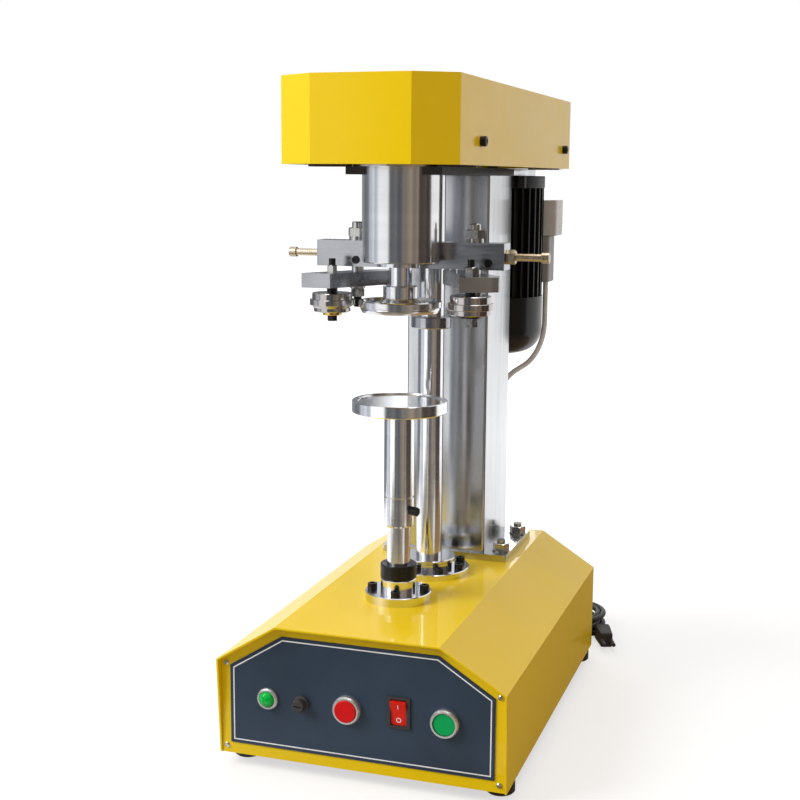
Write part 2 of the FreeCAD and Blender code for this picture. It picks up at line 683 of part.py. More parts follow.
def panel_screw_places():
    x = d.base_width / 2 - d.panel_screw_in
    heights = (base_low + d.panel_screw_low, base_low + d.base_side - d.panel_screw_drop)
    return [(x * side, z) for side in (-1, 1) for z in heights]


def make_panels():
    screw_holes = []
    for x, z in panel_screw_places():
        screw_holes.append(rod(d.panel_screw_shank + d.fit_gap, 2 * OVER, x, panel_y - OVER, z, TO_REAR))
    panel = folded_panel(panel_y + d.panel_return, panel_y + d.sheet_wall)
    node("front_panel", cut(panel, *(control_holes() + screw_holes)))
    dark = padded("XZ_Plane", base_outline(d.plate_margin, d.plate_margin), d.plate_thick,
                  y=panel_y, z=base_low)
    node("control_plate", cut(dark, *control_holes()))
    tools = [rod(gland_thread + d.fit_gap, 2 * OVER, gland_x, rear + OVER, gland_z, TO_FRONT)]
    slot_half, slot_high, slot_step = 2.0, 30.0, 9.0
    for index in range(-6, 7):
        x = index * slot_step
        tools.append(box(x - slot_half, x + slot_half, rear - OVER, rear + OVER,
                         control_z, control_z + slot_high))
    node("rear_panel", cut(folded_panel(rear, rear), *tools))


def make_panel_screws():
    heads = []
    head = d.panel_screw_head
    length = d.panel_return / 2
    for x, z in panel_screw_places():
        profile = [(0, -length), (d.panel_screw_shank, -length), (d.panel_screw_shank, 0), (head, 0),
                   (head, 0.8), (head * 0.6, 1.7), (0, 1.9)]
        screw = turned(profile, x, panel_y, z, TO_FRONT)
        slot = box(x - 0.4, x + 0.4, panel_y - 3, panel_y - 1.1, z - head, z + head)
        heads.append(cut(screw, slot))
    node("panel_screws", group(*heads))


def make_tray():
    half = d.base_width / 2 - d.sheet_wall - d.fit_gap
    y0 = panel_y + d.panel_return + d.fit_gap
    y1 = rear - d.panel_return - d.fit_gap
    floor = box(-half, half, y0, y1, base_low, tray_top)
    left = box(-half, d.tray_sheet - half, y0, y1, base_low, base_low + d.tray_lip)
    right = box(half - d.tray_sheet, half, y0, y1, base_low, base_low + d.tray_lip)
    node("base_tray", fuse(floor, left, right))


def make_feet():
    feet = []
    radius, height = d.foot_radius, d.foot_height
    profile = [(0, 3), (4, 3), (4, 0), (radius - 1.5, 0), (radius, 1.5), (radius, height - 3),
               (radius - 1.5, height), (0, height)]
    for side in (-1, 1):
        x = (d.base_width / 2 - d.foot_inset) * side
        for y in (front + d.front_foot_setback, rear - d.rear_foot_setback):
            feet.append(turned(profile, x, y))
    node("rubber_feet", group(*feet))


def make_inner_frame():
    half, leg = d.frame_half, d.frame_leg
    plate = box(-half, half, frame_front, frame_back, frame_low, frame_top)
    parts = [plate]
    for side in (-1, 1):
        x0 = half * side if side < 0 else half - leg
        parts.append(box(x0, x0 + leg, frame_front, frame_back, tray_top, frame_top))
        inner = d.lever_half + 5 * d.fit_gap
        ear0 = -inner - d.ear_thick if side < 0 else inner
        parts.append(box(ear0, ear0 + d.ear_thick, lever_y - d.ear_half, lever_y + d.ear_half,
                         d.lever_pivot_up - d.ear_half, frame_top))
    reach = d.lever_half + 5 * d.fit_gap + d.ear_thick
    parts.append(rod(d.lever_pin, reach * 2, -reach, lever_y, d.lever_pivot_up, TO_RIGHT))
    tools = [through(d.bush_radius + d.fit_gap, 0, spindle_y, frame_low, frame_top),
             through(d.cam_barrel_radius + d.fit_gap, 0, cam_y, frame_low, frame_top)]
    for x, y in column_stud_places():
        tools.append(through(d.column_stud + d.fit_gap, x, y, frame_low, frame_top))
    for x, y in bush_screw_places() + cam_screw_places():
        tools.append(through(d.screw_shank + d.shaft_gap, x, y, frame_low, frame_top))
    node("inner_frame", cut(fuse(*parts), *tools))


def make_controls():
    ring_parts = []
    lens = d.lamp_lens + d.fit_gap
    lamp_ring = [(lens, 0), (d.lamp_ring, 0), (d.lamp_ring, 2.6), (d.lamp_ring - 1.4, 4.2), (lens, 4.2)]
    ring_parts.append(turned(lamp_ring, lamp_x, plate_y, control_z, TO_FRONT))
    cap, stem = d.button_cap + d.fit_gap, d.button_stem + d.fit_gap
    depth, barrel = d.button_ring_depth, d.button_barrel
    button_ring = [(stem, -barrel), (d.button_cap, -barrel), (d.button_cap, 0), (d.button_ring, 0),
                   (d.button_ring, depth - 1.8), (d.button_ring - 1.2, depth), (cap, depth),
                   (cap, d.button_floor), (stem, d.button_floor)]
    for x in (d.red_button_x, green_button_x):
        ring_parts.append(turned(button_ring, x, plate_y, control_z, TO_FRONT))
    node("control_bezels", group(*ring_parts))
    radius = d.lamp_lens
    dome = [(0, -18), (radius, -18), (radius, 3), (radius * 0.93, 5.2), (radius * 0.74, 7),
            (radius * 0.45, 8.2), (0, 8.7)]
    node("lamp_lens", turned(dome, lamp_x, plate_y, control_z, TO_FRONT))
    radius = d.fuse_cap
    holder = [(0, -30), (radius, -30), (radius, 0), (d.fuse_collar, 0), (d.fuse_collar, 3),
              (radius, 3.8), (radius, 10.5), (radius - 0.9, 11.5), (0, 11.5)]
    fuse_body = turned(holder, fuse_x, plate_y, control_z, TO_FRONT)
    slot = box(fuse_x - 4, fuse_x + 4, plate_y - 13, plate_y - 10, control_z - 0.7, control_z + 0.7)
    node("fuse_holder", cut(fuse_body, slot))
    back = d.button_floor + d.button_travel + d.fit_gap
    for name, x, reach in (("red_button_cap", d.red_button_x, d.red_cap_reach),
                           ("green_button_cap", green_button_x, d.green_cap_reach)):
        cap_profile = [(0, 3 - barrel), (d.button_stem, 3 - barrel), (d.button_stem, back),
                       (d.button_cap, back), (d.button_cap, reach - 0.7), (d.button_cap - 0.7, reach),
                       (0, reach)]
        node(name, turned(cap_profile, x, plate_y, control_z, TO_FRONT))


def make_switch():
    half_x, half_z = switch_body_half()
    window_x, window_z = half_x - d.switch_wall, half_z - d.switch_wall
    flange = switch_block(d.switch_width / 2, d.switch_height / 2, plate_y - 2, plate_y)
    housing = switch_block(half_x, half_z, plate_y - 1, plate_y + 20)
    window = switch_block(window_x, window_z, plate_y - OVER, plate_y + 12)
    pivot_y = plate_y + 1.5
    pin = 1.5
    bore = rod(pin + d.shaft_gap, half_x * 2, d.switch_x - half_x, pivot_y, switch_z, TO_RIGHT)
    node("switch_frame", cut(fuse(flange, housing), window, bore))
    rocker_half = window_x - d.fit_gap
    high = window_z - 0.8
    profile = [(-4.2, high), (-2.4, 0), (-4.2, -high), (3, 1 - high), (6, 0), (3, high - 1)]
    face = padded("YZ_Plane", profile, rocker_half * 2, x=-rocker_half)
    pins = rod(pin, half_x * 2, -half_x, 0, 0, TO_RIGHT)
    rocker = fuse(face, pins)
    tilt = Rotation(Vector(1, 0, 0), d.rocker_swing.value)
    node("switch_rocker", place(rocker, d.switch_x, pivot_y, switch_z, tilt))
    bind(rocker, "Placement.Rotation.Angle", d.rocker_swing)
    bind(rocker, "Placement.Rotation.Axis.x", 1)


def make_lifter():
    bore = d.lifter_radius + d.shaft_gap
    top = d.bush_flange + d.bush_barrel
    housing = [(bore, -d.bush_spigot), (d.bush_radius, -d.bush_spigot), (d.bush_radius, 0),
               (d.bush_flange_radius, 0), (d.bush_flange_radius, d.bush_flange - 0.8),
               (d.bush_flange_radius - 0.8, d.bush_flange), (d.bush_radius, d.bush_flange),
               (d.bush_radius, top - 1), (d.bush_radius - 1, top), (bore, top)]
    screws = [through(d.screw_shank + d.shaft_gap, x, y, base_top, base_top + d.bush_flange)
              for x, y in bush_screw_places()]
    node("lifter_bush_housing", cut(turned(housing, 0, spindle_y, base_top), *screws))
    radius, length = d.lifter_radius, d.lifter_length
    shaft = [(0, 0), (radius - 1, 0), (radius, 1), (radius, length - 1), (radius - 1, length), (0, length)]
    node("lifter_shaft", turned(shaft, 0, spindle_y, d.lifter_low))
    outer, high = d.stop_collar_radius, d.stop_collar
    collar = [(bore, 0), (outer - 0.6, 0), (outer, 0.6), (outer, high - 0.6), (outer - 0.6, high),
              (bore, high)]
    collar_body = turned(collar, 0, spindle_y, barrel_top + d.fit_gap)
    split = box(-outer - OVER, -radius, spindle_y - 0.8, spindle_y + 0.8, barrel_top, collar_top + OVER)
    node("lifter_stop_collar", cut(collar_body, split))
    radius, length, groove = d.sleeve_radius, d.sleeve_length, d.sleeve_groove_up
    pin = d.seat_pin + d.shaft_gap
    pin_floor = length - d.seat_pin - d.fit_gap
    sleeve = [(bore, 0), (radius - 2, 0), (radius, 2), (radius, groove), (radius - 1, groove + 0.6),
              (radius - 1, groove + 1.4), (radius, groove + 2), (radius, length - 1), (radius - 1, length),
              (pin, length), (pin, pin_floor), (0, pin_floor), (0, length - d.sleeve_roof),
              (bore, length - d.sleeve_roof)]
    sleeve_body = turned(sleeve, 0, spindle_y, sleeve_low)
    towards = Rotation(Vector(0, 0, 1), -20).multiply(TO_RIGHT)
    clamp_z = sleeve_low + d.set_screw_up
    head = hexagon(4.2, radius + 8.5 - bore - 0.5, 0, 0, 0)
    place(head, (bore + 0.5) * cosine(-20), spindle_y + (bore + 0.5) * sine(-20), clamp_z, towards)
    node("seat_sleeve", fuse(sleeve_body, head))
    radius, thick, rim = d.seat_radius, d.seat_thick, d.seat_rim
    seat = [(0, -d.seat_pin), (d.seat_pin, -d.seat_pin), (d.seat_pin, 0), (radius - 1, 0), (radius, 1),
            (radius, thick - 0.6), (radius - 0.6, thick), (radius - 5, thick), (radius - 6, thick - rim),
            (0, thick - rim)]
    node("seat_plate", turned(seat, 0, spindle_y, sleeve_top + d.fit_gap))


def make_spindle():
    bore, radius = d.spindle_radius + d.shaft_gap, d.chuck_radius
    thick, hub, hub_radius = d.chuck_thick, d.chuck_hub, d.chuck_hub_radius
    chuck = [(bore, 0), (radius - 3.2, 0), (radius - 1.6, 3.2), (radius - 1.6, 5), (radius, 5.6),
             (radius, thick - 1), (radius - 1, thick), (radius - 5, thick), (radius - 8, thick - 2.5),
             (hub_radius + 4, thick - 2.5), (hub_radius, thick + 1), (hub_radius, thick + hub - 1),
             (hub_radius - 1, thick + hub), (bore, thick + hub)]
    node("seaming_chuck", turned(chuck, 0, spindle_y, d.chuck_low))
    radius = d.spindle_radius
    low = 1.5
    length = plate_top + d.spindle_top_up - d.chuck_low - low
    spindle = rod(radius, length, 0, spindle_y, d.chuck_low + low)
    node("spindle_shaft", spindle)
    high = plate_top - d.housing_low
    collar_high = high + d.housing_collar
    seat, seal = d.bearing_radius, d.seal_radius
    outer = d.housing_radius
    lip_bore = d.spindle_radius + 2 * d.fit_gap
    lip = d.housing_lip
    housing = [(lip_bore, -d.seal_thick), (seal, -d.seal_thick), (seal, 0), (outer - 0.8, 0), (outer, 0.8),
               (outer, high), (d.housing_collar_radius, high), (d.housing_collar_radius, collar_high),
               (seat, collar_high), (seat, collar_high - d.bearing_thick),
               (d.housing_bore, collar_high - d.bearing_thick), (d.housing_bore, lip + d.bearing_thick),
               (seat, lip + d.bearing_thick), (seat, lip), (lip_bore, lip)]
    node("spindle_housing", turned(housing, 0, spindle_y, d.housing_low))
    bearings = []
    for z in (d.housing_low + lip, plate_top + d.housing_collar - d.bearing_thick):
        bearings.append(bearing(seat, bore, d.bearing_thick, spindle_y, z))
    cam_bore = d.cam_shaft_radius + d.shaft_gap
    bearings.append(bearing(d.cam_bearing_radius, cam_bore, d.head_plate, cam_y, d.plate_low))
    node("shaft_bearings", group(*bearings))


def bearing(outer, inner, thick, y, z):
    """A closed ball bearing, with its shields a little inside its rings."""
    wall = 2.5
    step = 0.6
    race = outer - wall
    inner_race = inner + wall
    profile = [(inner, 0), (inner_race, 0), (inner_race, step), (race, step), (race, 0), (outer, 0),
               (outer, thick), (race, thick), (race, thick - step), (inner_race, thick - step),
               (inner_race, thick), (inner, thick)]
    return turned(profile, 0, y, z)


def make_cam_shaft():
    bore, top = d.cam_shaft_radius + d.shaft_gap, d.cam_flange + d.cam_barrel
    flange, barrel, thick = d.cam_flange_radius, d.cam_barrel_radius, d.cam_flange
    housing = [(bore, -d.cam_spigot), (barrel, -d.cam_spigot), (barrel, 0), (flange, 0),
               (flange, thick - 0.8), (flange - 0.8, thick), (barrel, thick), (barrel, top - 4),
               (barrel - 0.8, top - 3.6), (barrel - 0.8, top - 2.8), (barrel, top - 2.4),
               (barrel, top - 0.8),
               (barrel - 0.8, top), (bore, top)]
    screws = [through(d.screw_shank + d.shaft_gap, x, y, base_top, base_top + thick)
              for x, y in cam_screw_places()]
    node("cam_bearing_housing", cut(turned(housing, 0, cam_y, base_top), *screws))
    length = plate_top + d.cam_shaft_top_up - d.cam_shaft_low
    node("cam_shaft", rod(d.cam_shaft_radius, length, 0, cam_y, d.cam_shaft_low))
    outer, thick = d.collar_radius, d.collar_thick
    collar = [(bore, 0), (outer - 1, 0), (outer, 1), (outer, thick - 1), (outer - 1, thick), (bore, thick)]
    node("cam_collar", turned(collar, 0, cam_y, d.collar_low))
    parts = []
    nose_reach = d.cam_round + d.cam_lift - d.cam_nose
    left_angle = 180 + d.follower_angle + d.cam_turn
    right_angle = -d.follower_angle + d.cam_turn
    for low, angle in ((left_cam_low, left_angle), (right_cam_low, right_angle)):
        parts.append(rod(d.cam_round, d.cam_thick, 0, cam_y, low))
        parts.append(rod(d.cam_nose, d.cam_thick, nose_reach * cosine(angle),
                         cam_y + nose_reach * sine(angle), low))
    parts.append(rod(d.cam_round, d.cam_step, 0, cam_y, left_cam_low))
    shaft_hole = through(bore, 0, cam_y, left_cam_low, right_cam_low + d.cam_thick)
    node("seaming_cams", cut(fuse(*parts), shaft_hole))
    disc = rod(d.lift_cam_radius, d.lift_cam_thick, 0, cam_y, lift_cam_low)
    track_low = lift_cam_low - d.lift_lobe
    track = cut(rod(d.lift_cam_radius, d.lift_lobe + 1, 0, cam_y, track_low),
                rod(d.lift_cam_hub, d.lift_lobe + OVER, 0, cam_y, track_low - 1))
    top, tip = d.lift_lobe_top / 2, d.lift_lobe_tip / 2
    ramp = [(-tip, 0), (tip, 0), (top, d.lift_lobe + 1), (-top, d.lift_lobe + 1)]
    wedge = padded("XZ_Plane", ramp, d.lift_cam_radius + OVER, y=cam_y, z=track_low)
    wedge.Placement = Placement(wedge.Placement.Base, Rotation(Vector(0, 0, 1), d.cam_turn.value))
    bind(wedge, "Placement.Rotation.Angle", d.cam_turn)
    lobe = common(track, wedge)
    hole = through(bore, 0, cam_y, track_low, lift_cam_low + d.lift_cam_thick)
    node("lifting_cam", cut(fuse(disc, lobe), hole))


def make_lever():
    pivot, rear_end = lever_y, lever_y + d.lever_tail
    low, half, roller = d.lever_pivot_up, d.lever_half, d.lever_roller
    roller_half = 5.0
    bar = box(-half, half, spindle_y, rear_end - roller_half, low - d.lever_bar, low + d.lever_bar)
    boss = rod(d.lever_boss, half * 2, -half, pivot, low, TO_RIGHT)
    front_roller = rod(roller, half * 2, -half, spindle_y, low, TO_RIGHT)
    rear_roller = rod(roller, roller_half * 2, 0, rear_end - roller_half, low, TO_REAR)
    bore = rod(d.lever_pin + d.shaft_gap, (half + OVER) * 2, -half - OVER, pivot, low, TO_RIGHT)
    node("lifting_lever", cut(fuse(bar, boss, front_roller, rear_roller), bore))


def make_column():
    half, depth = d.column_width / 2, d.column_depth
    length = d.plate_low - foot_plate_top
    outside = block_outline(-half, half, 0, depth)
    tube = padded("XY_Plane", outside, length, y=column_front, z=foot_plate_top)
    softened(tube, d.column_corner, is_upright)
    wall = d.column_wall
    inside = box(wall - half, half - wall, column_front + wall, column_front + depth - wall,
                 foot_plate_top + wall, d.plate_low + OVER)
    half = d.foot_plate_width / 2
    plate = padded("XY_Plane", block_outline(-half, half, 0, d.foot_plate_depth), d.foot_plate,
                   y=foot_plate_front, z=base_top)
    softened(plate, d.column_corner, is_upright)
    holes = [through(d.column_stud + d.fit_gap, x, y, base_top, foot_plate_top)
             for x, y in column_stud_places()]
    node("column", cut(fuse(tube, plate), inside, *holes))


def nut(half_width, height, bore, x, y, z, turn=UPRIGHT):
    """A hexagon nut with its upper corners turned off."""
    corner = half_width * (2 / math.sqrt(3))
    cap = [(0, 0), (corner, 0), (corner, height - 1.2), (half_width - 0.4, height), (0, height)]
    body = common(hexagon(half_width, height), turned(cap))
    if bore is None:
        return place(body, x, y, z, turn)
    return place(cut(body, rod(bore, height + 2 * OVER, 0, 0, -OVER)), x, y, z, turn)


def make_studs():
    parts = []
    high = d.column_nut_height
    low = frame_low - high - 3
    for x, y in column_stud_places():
        stud = rod(d.column_stud, foot_plate_top + high + 5 - low, x, y, low)
        washer = rod(d.column_nut + 2, 1.5, x, y, foot_plate_top)
        upper = nut(d.column_nut, high, None, x, y, foot_plate_top + 1.5)
        lower = nut(d.column_nut, high, None, x, y, frame_low - high)
        parts.append(fuse(stud, washer, upper, lower))
    washer, nut_high, tip = 4.0, 9.0, 6.0
    low_washer, low_nut, low_tip = 2.5, 8.7, 11.0
    shoulder = arm_low - d.fit_gap
    for x in (d.left_pivot_x, d.right_pivot_x):
        bottom = shoulder - low_washer - low_nut - low_tip
        top = beam_top + washer + nut_high + tip
        wide, thin, screw = d.pivot_radius, d.pivot_stud, d.pivot_thread
        rise = d.beam_low - bottom
        stud = turned([(0, 0), (screw - 0.6, 0), (screw, 0.6), (screw, shoulder - bottom),
                       (wide, shoulder - bottom), (wide, rise), (thin, rise), (thin, top - bottom - 0.8),
                       (thin - 0.8, top - bottom), (0, top - bottom)], x, beam_middle, bottom)
        plate = rod(d.pivot_nut, washer, x, beam_middle, beam_top)
        upper = nut(d.pivot_nut, nut_high, None, x, beam_middle, beam_top + washer)
        disc = rod(d.pivot_low_nut + 1.5, low_washer, x, beam_middle, shoulder - low_washer)
        lower = nut(d.pivot_low_nut, low_nut, None, x, beam_middle, shoulder - low_washer - low_nut)
        parts.append(fuse(stud, plate, upper, disc, lower))
    node("stud_bolts", group(*parts))


def socket_screw(head, height, shank, length, x, y, z, turn):
    """A socket screw whose head stands on its place, along its turn."""
    profile = [(0, -length), (shank, -length), (shank, 0), (head, 0), (head, height - 0.6),
               (head - 0.6, height), (0, height)]
    socket = hexagon(head * 0.5, height, 0, 0, height * 0.45)
    return place(cut(turned(profile), socket), x, y, z, turn)


def make_socket_screws():
    parts = []
    head, high, shank = d.screw_head, d.screw_head_height, d.screw_shank
    for x, y in bush_screw_places():
        parts.append(socket_screw(head, high, shank, d.bush_flange + d.sheet_wall + d.frame_plate, x, y,
                                  base_top + d.bush_flange, UPRIGHT))
    for x, y in cam_screw_places():
        parts.append(socket_screw(head, high, shank, d.cam_flange + d.sheet_wall + d.frame_plate, x, y,
                                  base_top + d.cam_flange, UPRIGHT))
    z = d.cover_low + d.cover_screw_up
    length = d.cover_sheet + d.ear_sheet + d.fit_gap
    for setback in cover_screw_setbacks:
        for side, turn in ((-1, TO_LEFT), (1, TO_RIGHT)):
            spot = (d.cover_half * side, front + setback, z)
            parts.append(socket_screw(head, high, shank, length, *spot, turn))
    z = d.beam_low + d.beam_screw_up
    head = d.beam_screw_head
    for x in (d.beam_screw_left, d.beam_screw_right):
        parts.append(socket_screw(head, 1.6, shank, d.beam_screw_length, x, beam_front, z, TO_FRONT))
    node("socket_screws", group(*parts))


def make_head_plate():
    half = d.head_half
    y0, y1 = spindle_y - d.head_lead, front + cover_rear_setback - d.head_rear_gap
    parts = [box(-half, half, y0, y1, d.plate_low, plate_top)]
    inner = d.cover_half - d.cover_sheet - d.fit_gap
    high = d.cover_low + d.cover_screw_up + d.ear_wide / 2
    wing_in = half - 3
    tools = []
    for setback in cover_screw_setbacks:
        y = front + setback
        for side in (-1, 1):
            wing0 = -inner if side < 0 else wing_in
            wall0 = -inner if side < 0 else inner - d.ear_sheet
            ends = y - d.ear_wide / 2, y + d.ear_wide / 2
            wing1 = wing0 + inner - wing_in
            parts.append(box(wing0, wing1, *ends, plate_top - 0.5, plate_top + d.ear_sheet))
            parts.append(box(wall0, wall0 + d.ear_sheet, *ends, plate_top - 0.5, high))
        reach = d.cover_half + OVER
        tools.append(rod(d.screw_shank + d.shaft_gap, reach * 2, -reach, y, d.cover_low + d.cover_screw_up,
                         TO_RIGHT))
    tools.append(through(d.housing_radius + d.shaft_gap, 0, spindle_y, d.plate_low, plate_top))
    tools.append(through(d.cam_bearing_radius, 0, cam_y, d.plate_low, plate_top))
    tools.append(through(d.motor_shaft + OVER, d.motor_x, motor_y, d.plate_low, plate_top))
    node("head_plate", cut(fuse(*parts), *tools))


def make_top_cover():
    half, corner_x, corner_y = d.cover_half, d.cover_corner_x, d.cover_corner_y
    y0, y1 = front + d.cover_front_setback, front + cover_rear_setback
    corners = [(-half, y1), (-half, y0 + corner_y), (corner_x - half, y0), (half - corner_x, y0),
               (half, y0 + corner_y), (half, y1)]
    shell = padded("XY_Plane", corners, d.cover_height, z=d.cover_low)
    doc.recompute()
    pad = shell.Tip
    lowest = min(range(len(pad.Shape.Faces)), key=lambda n: pad.Shape.Faces[n].CenterOfMass.z)
    hollow = shell.newObject("PartDesign::Thickness", label("Hollow"))
    hollow.Base = (pad, [f"Face{lowest + 1}"])
    bind(hollow, "Value", d.cover_sheet)
    hollow.Reversed = True
    hollow.Join = 1
    holes = []
    for setback in cover_screw_setbacks:
        reach = half + OVER
        holes.append(rod(d.screw_shank + d.fit_gap, reach * 2, -reach, front + setback,
                         d.cover_low + d.cover_screw_up, TO_RIGHT))
    node("top_cover", cut(shell, *holes))


def make_beam():
    half, y0 = d.beam_half, beam_front
    beam = box(-half, half, y0, y0 + d.beam_depth, d.beam_low, beam_top)
    pocket = rod(d.housing_radius + d.shaft_gap, d.beam_height, 0, spindle_y, d.housing_low)
    tools = [pocket]
    for x in (d.left_pivot_x, d.right_pivot_x):
        tools.append(through(d.pivot_stud + d.shaft_gap, x, beam_middle, d.beam_low, beam_top))
    z = d.beam_low + d.adjuster_up
    bore = d.adjuster_radius + d.shaft_gap
    tools.append(rod(bore, half + d.left_pivot_x + OVER, -half - OVER, beam_middle, z, TO_RIGHT))
    tools.append(rod(bore, half - d.right_pivot_x + OVER, d.right_pivot_x, beam_middle, z, TO_RIGHT))
    for x in (d.beam_screw_left, d.beam_screw_right):
        tools.append(rod(d.screw_shank + d.shaft_gap, d.beam_screw_length + OVER, x, y0 - OVER,
                         d.beam_low + d.beam_screw_up, TO_REAR))
    node("cross_beam", cut(beam, *tools))
    screws = []
    for side, turn, outside, pivot in ((-1, TO_LEFT, d.left_adjuster, -d.left_pivot_x),
                                       (1, TO_RIGHT, d.right_adjuster, d.right_pivot_x)):
        x = half * side
        start = pivot + d.pivot_stud + d.fit_gap
        shank = rod(d.adjuster_radius, half + outside - start, start * side, beam_middle, z, turn)
        head = rod(d.adjuster_head, d.adjuster_head_length, (half + outside) * side, beam_middle, z, turn)
        parts = [shank, head]
        if side > 0:
            parts.append(nut(d.pivot_low_nut, 9, None, x + d.fit_gap, beam_middle, z, turn))
        screws.append(fuse(*parts))
    node("adjusting_screws", group(*screws))


def arm_edge(pivot_x, end_x):
    """The two side points at the pivot and at the follower, to the right and to the left of the arm."""
    run_x, run_y = end_x - pivot_x, follower_y - beam_middle
    length = root(run_x * run_x + run_y * run_y)
    right_x, right_y = run_y / length, -run_x / length
    sides = []
    for side in (1, -1):
        near = (pivot_x + right_x * d.arm_half * side, beam_middle + right_y * d.arm_half * side)
        far = (end_x + right_x * d.arm_tail * side, follower_y + right_y * d.arm_tail * side)
        sides.append((near, far))
    return sides


def make_arm(name, nose, pivot_x, roller_x, end_x):
    """An arm: its front corners from the left, then its sides to the follower."""
    (near_right, far_right), (near_left, far_left) = arm_edge(pivot_x, end_x)
    corners = nose + [near_right, far_right, far_left, near_left]
    plate = padded("XY_Plane", corners, d.arm_thick, z=arm_low)
    tail = rod(d.arm_tail, d.arm_thick, end_x, follower_y, arm_low)
    holes = [through(d.pivot_radius + d.shaft_gap, pivot_x, beam_middle, arm_low, arm_top),
             through(d.roller_bolt + d.shaft_gap, roller_x, roller_y, arm_low, arm_top),
             through(d.follower_pin, end_x, follower_y, arm_low, arm_top)]
    node(name, cut(fuse(plate, tail), *holes))


def make_arms():
    y = spindle_y - d.arm_front_lead
    left_nose = [(-d.left_arm_out, y), (-d.left_arm_in, y)]
    make_arm("left_arm", left_nose, d.left_pivot_x, d.left_roller_x, -follower_x)
    right_nose = [(d.right_arm_in, y + 2), (d.right_arm_nose, y + 13), (d.right_arm_out, y + 20),
                  (d.right_arm_out - 3, y + 37)]
    make_arm("right_arm", right_nose, d.right_pivot_x, d.right_roller_x, follower_x)


def make_follower(name, x, low):
    """A cam follower with its pin, which is held in the arm."""
    rise = low - arm_low
    pin, head = d.follower_pin, d.follower_radius - 2.2
    wheel, thick = d.follower_radius, d.follower_thick
    profile = [(0, 0), (pin - d.shaft_gap, 0), (pin - d.shaft_gap, d.arm_thick + d.fit_gap),
               (pin + 1.5, d.arm_thick + d.fit_gap), (pin + 1.5, rise), (head, rise), (wheel, rise),
               (wheel, rise + thick), (0, rise + thick)]
    node(name, turned(profile, x, follower_y, arm_low))


def make_rollers():
    make_follower("left_follower", -follower_x, left_cam_low + d.fit_gap)
    make_follower("right_follower", follower_x, right_cam_low + d.fit_gap)
    drum, rim, high = d.roller_drum, d.roller_rim, d.roller_height
    bore = d.roller_bolt + d.shaft_gap
    lip = drum - 1.8
    left = [(bore, 0), (lip - 0.8, 0), (lip, 0.8), (lip, 4.2), (drum - 0.8, 5.4), (drum, 6.2), (drum, 6.9),
            (rim - 0.5, 6.9), (rim, 7.4), (rim, high - 7.1), (rim - 0.5, high - 6.6), (drum, high - 6.6),
            (drum, high - 0.8), (drum - 0.8, high), (bore, high)]
    node("left_roller", turned(left, d.left_roller_x, roller_y, arm_low - d.left_roller_drop - high))
    right = [(bore, 0), (drum - 0.8, 0), (drum, 0.8), (drum, 5.4), (rim - 0.5, 5.4), (rim, 5.9),
             (rim, high - 8), (rim - 0.5, high - 7.5), (drum, high - 7.5), (drum, high - 0.8),
             (drum - 0.8, high), (bore, high)]
    node("right_roller", turned(right, d.right_roller_x, roller_y, arm_low - d.right_roller_drop - high))
    for name, x, drop, half, head_high, washer, nut_high, tip in (
            ("left_roller_bolt", d.left_roller_x, d.left_roller_drop, d.left_bolt_half,
             d.left_bolt_head, d.left_bolt_washer, d.left_bolt_nut, d.left_bolt_tip),
            ("right_roller_bolt", d.right_roller_x, d.right_roller_drop, d.right_bolt_half,
             d.right_bolt_head, d.right_bolt_washer, d.right_bolt_nut, d.right_bolt_tip)):
        roller_low = arm_low - drop - high
        washer_top = roller_low - d.fit_gap
        shank_low = washer_top - washer
        shank = rod(d.roller_bolt, arm_top + nut_high + tip - shank_low, x, roller_y, shank_low)
        head = hexagon(half, head_high, x, roller_y, shank_low - head_high)
        disc = rod(half + 4, washer, x, roller_y, shank_low)
        spacer = rod(d.roller_bolt + 2, drop - d.fit_gap, x, roller_y, roller_low + high + d.fit_gap)
        cap = nut(half, nut_high, None, x, roller_y, arm_top)
        node(name, fuse(shank, head, disc, spacer, cap))


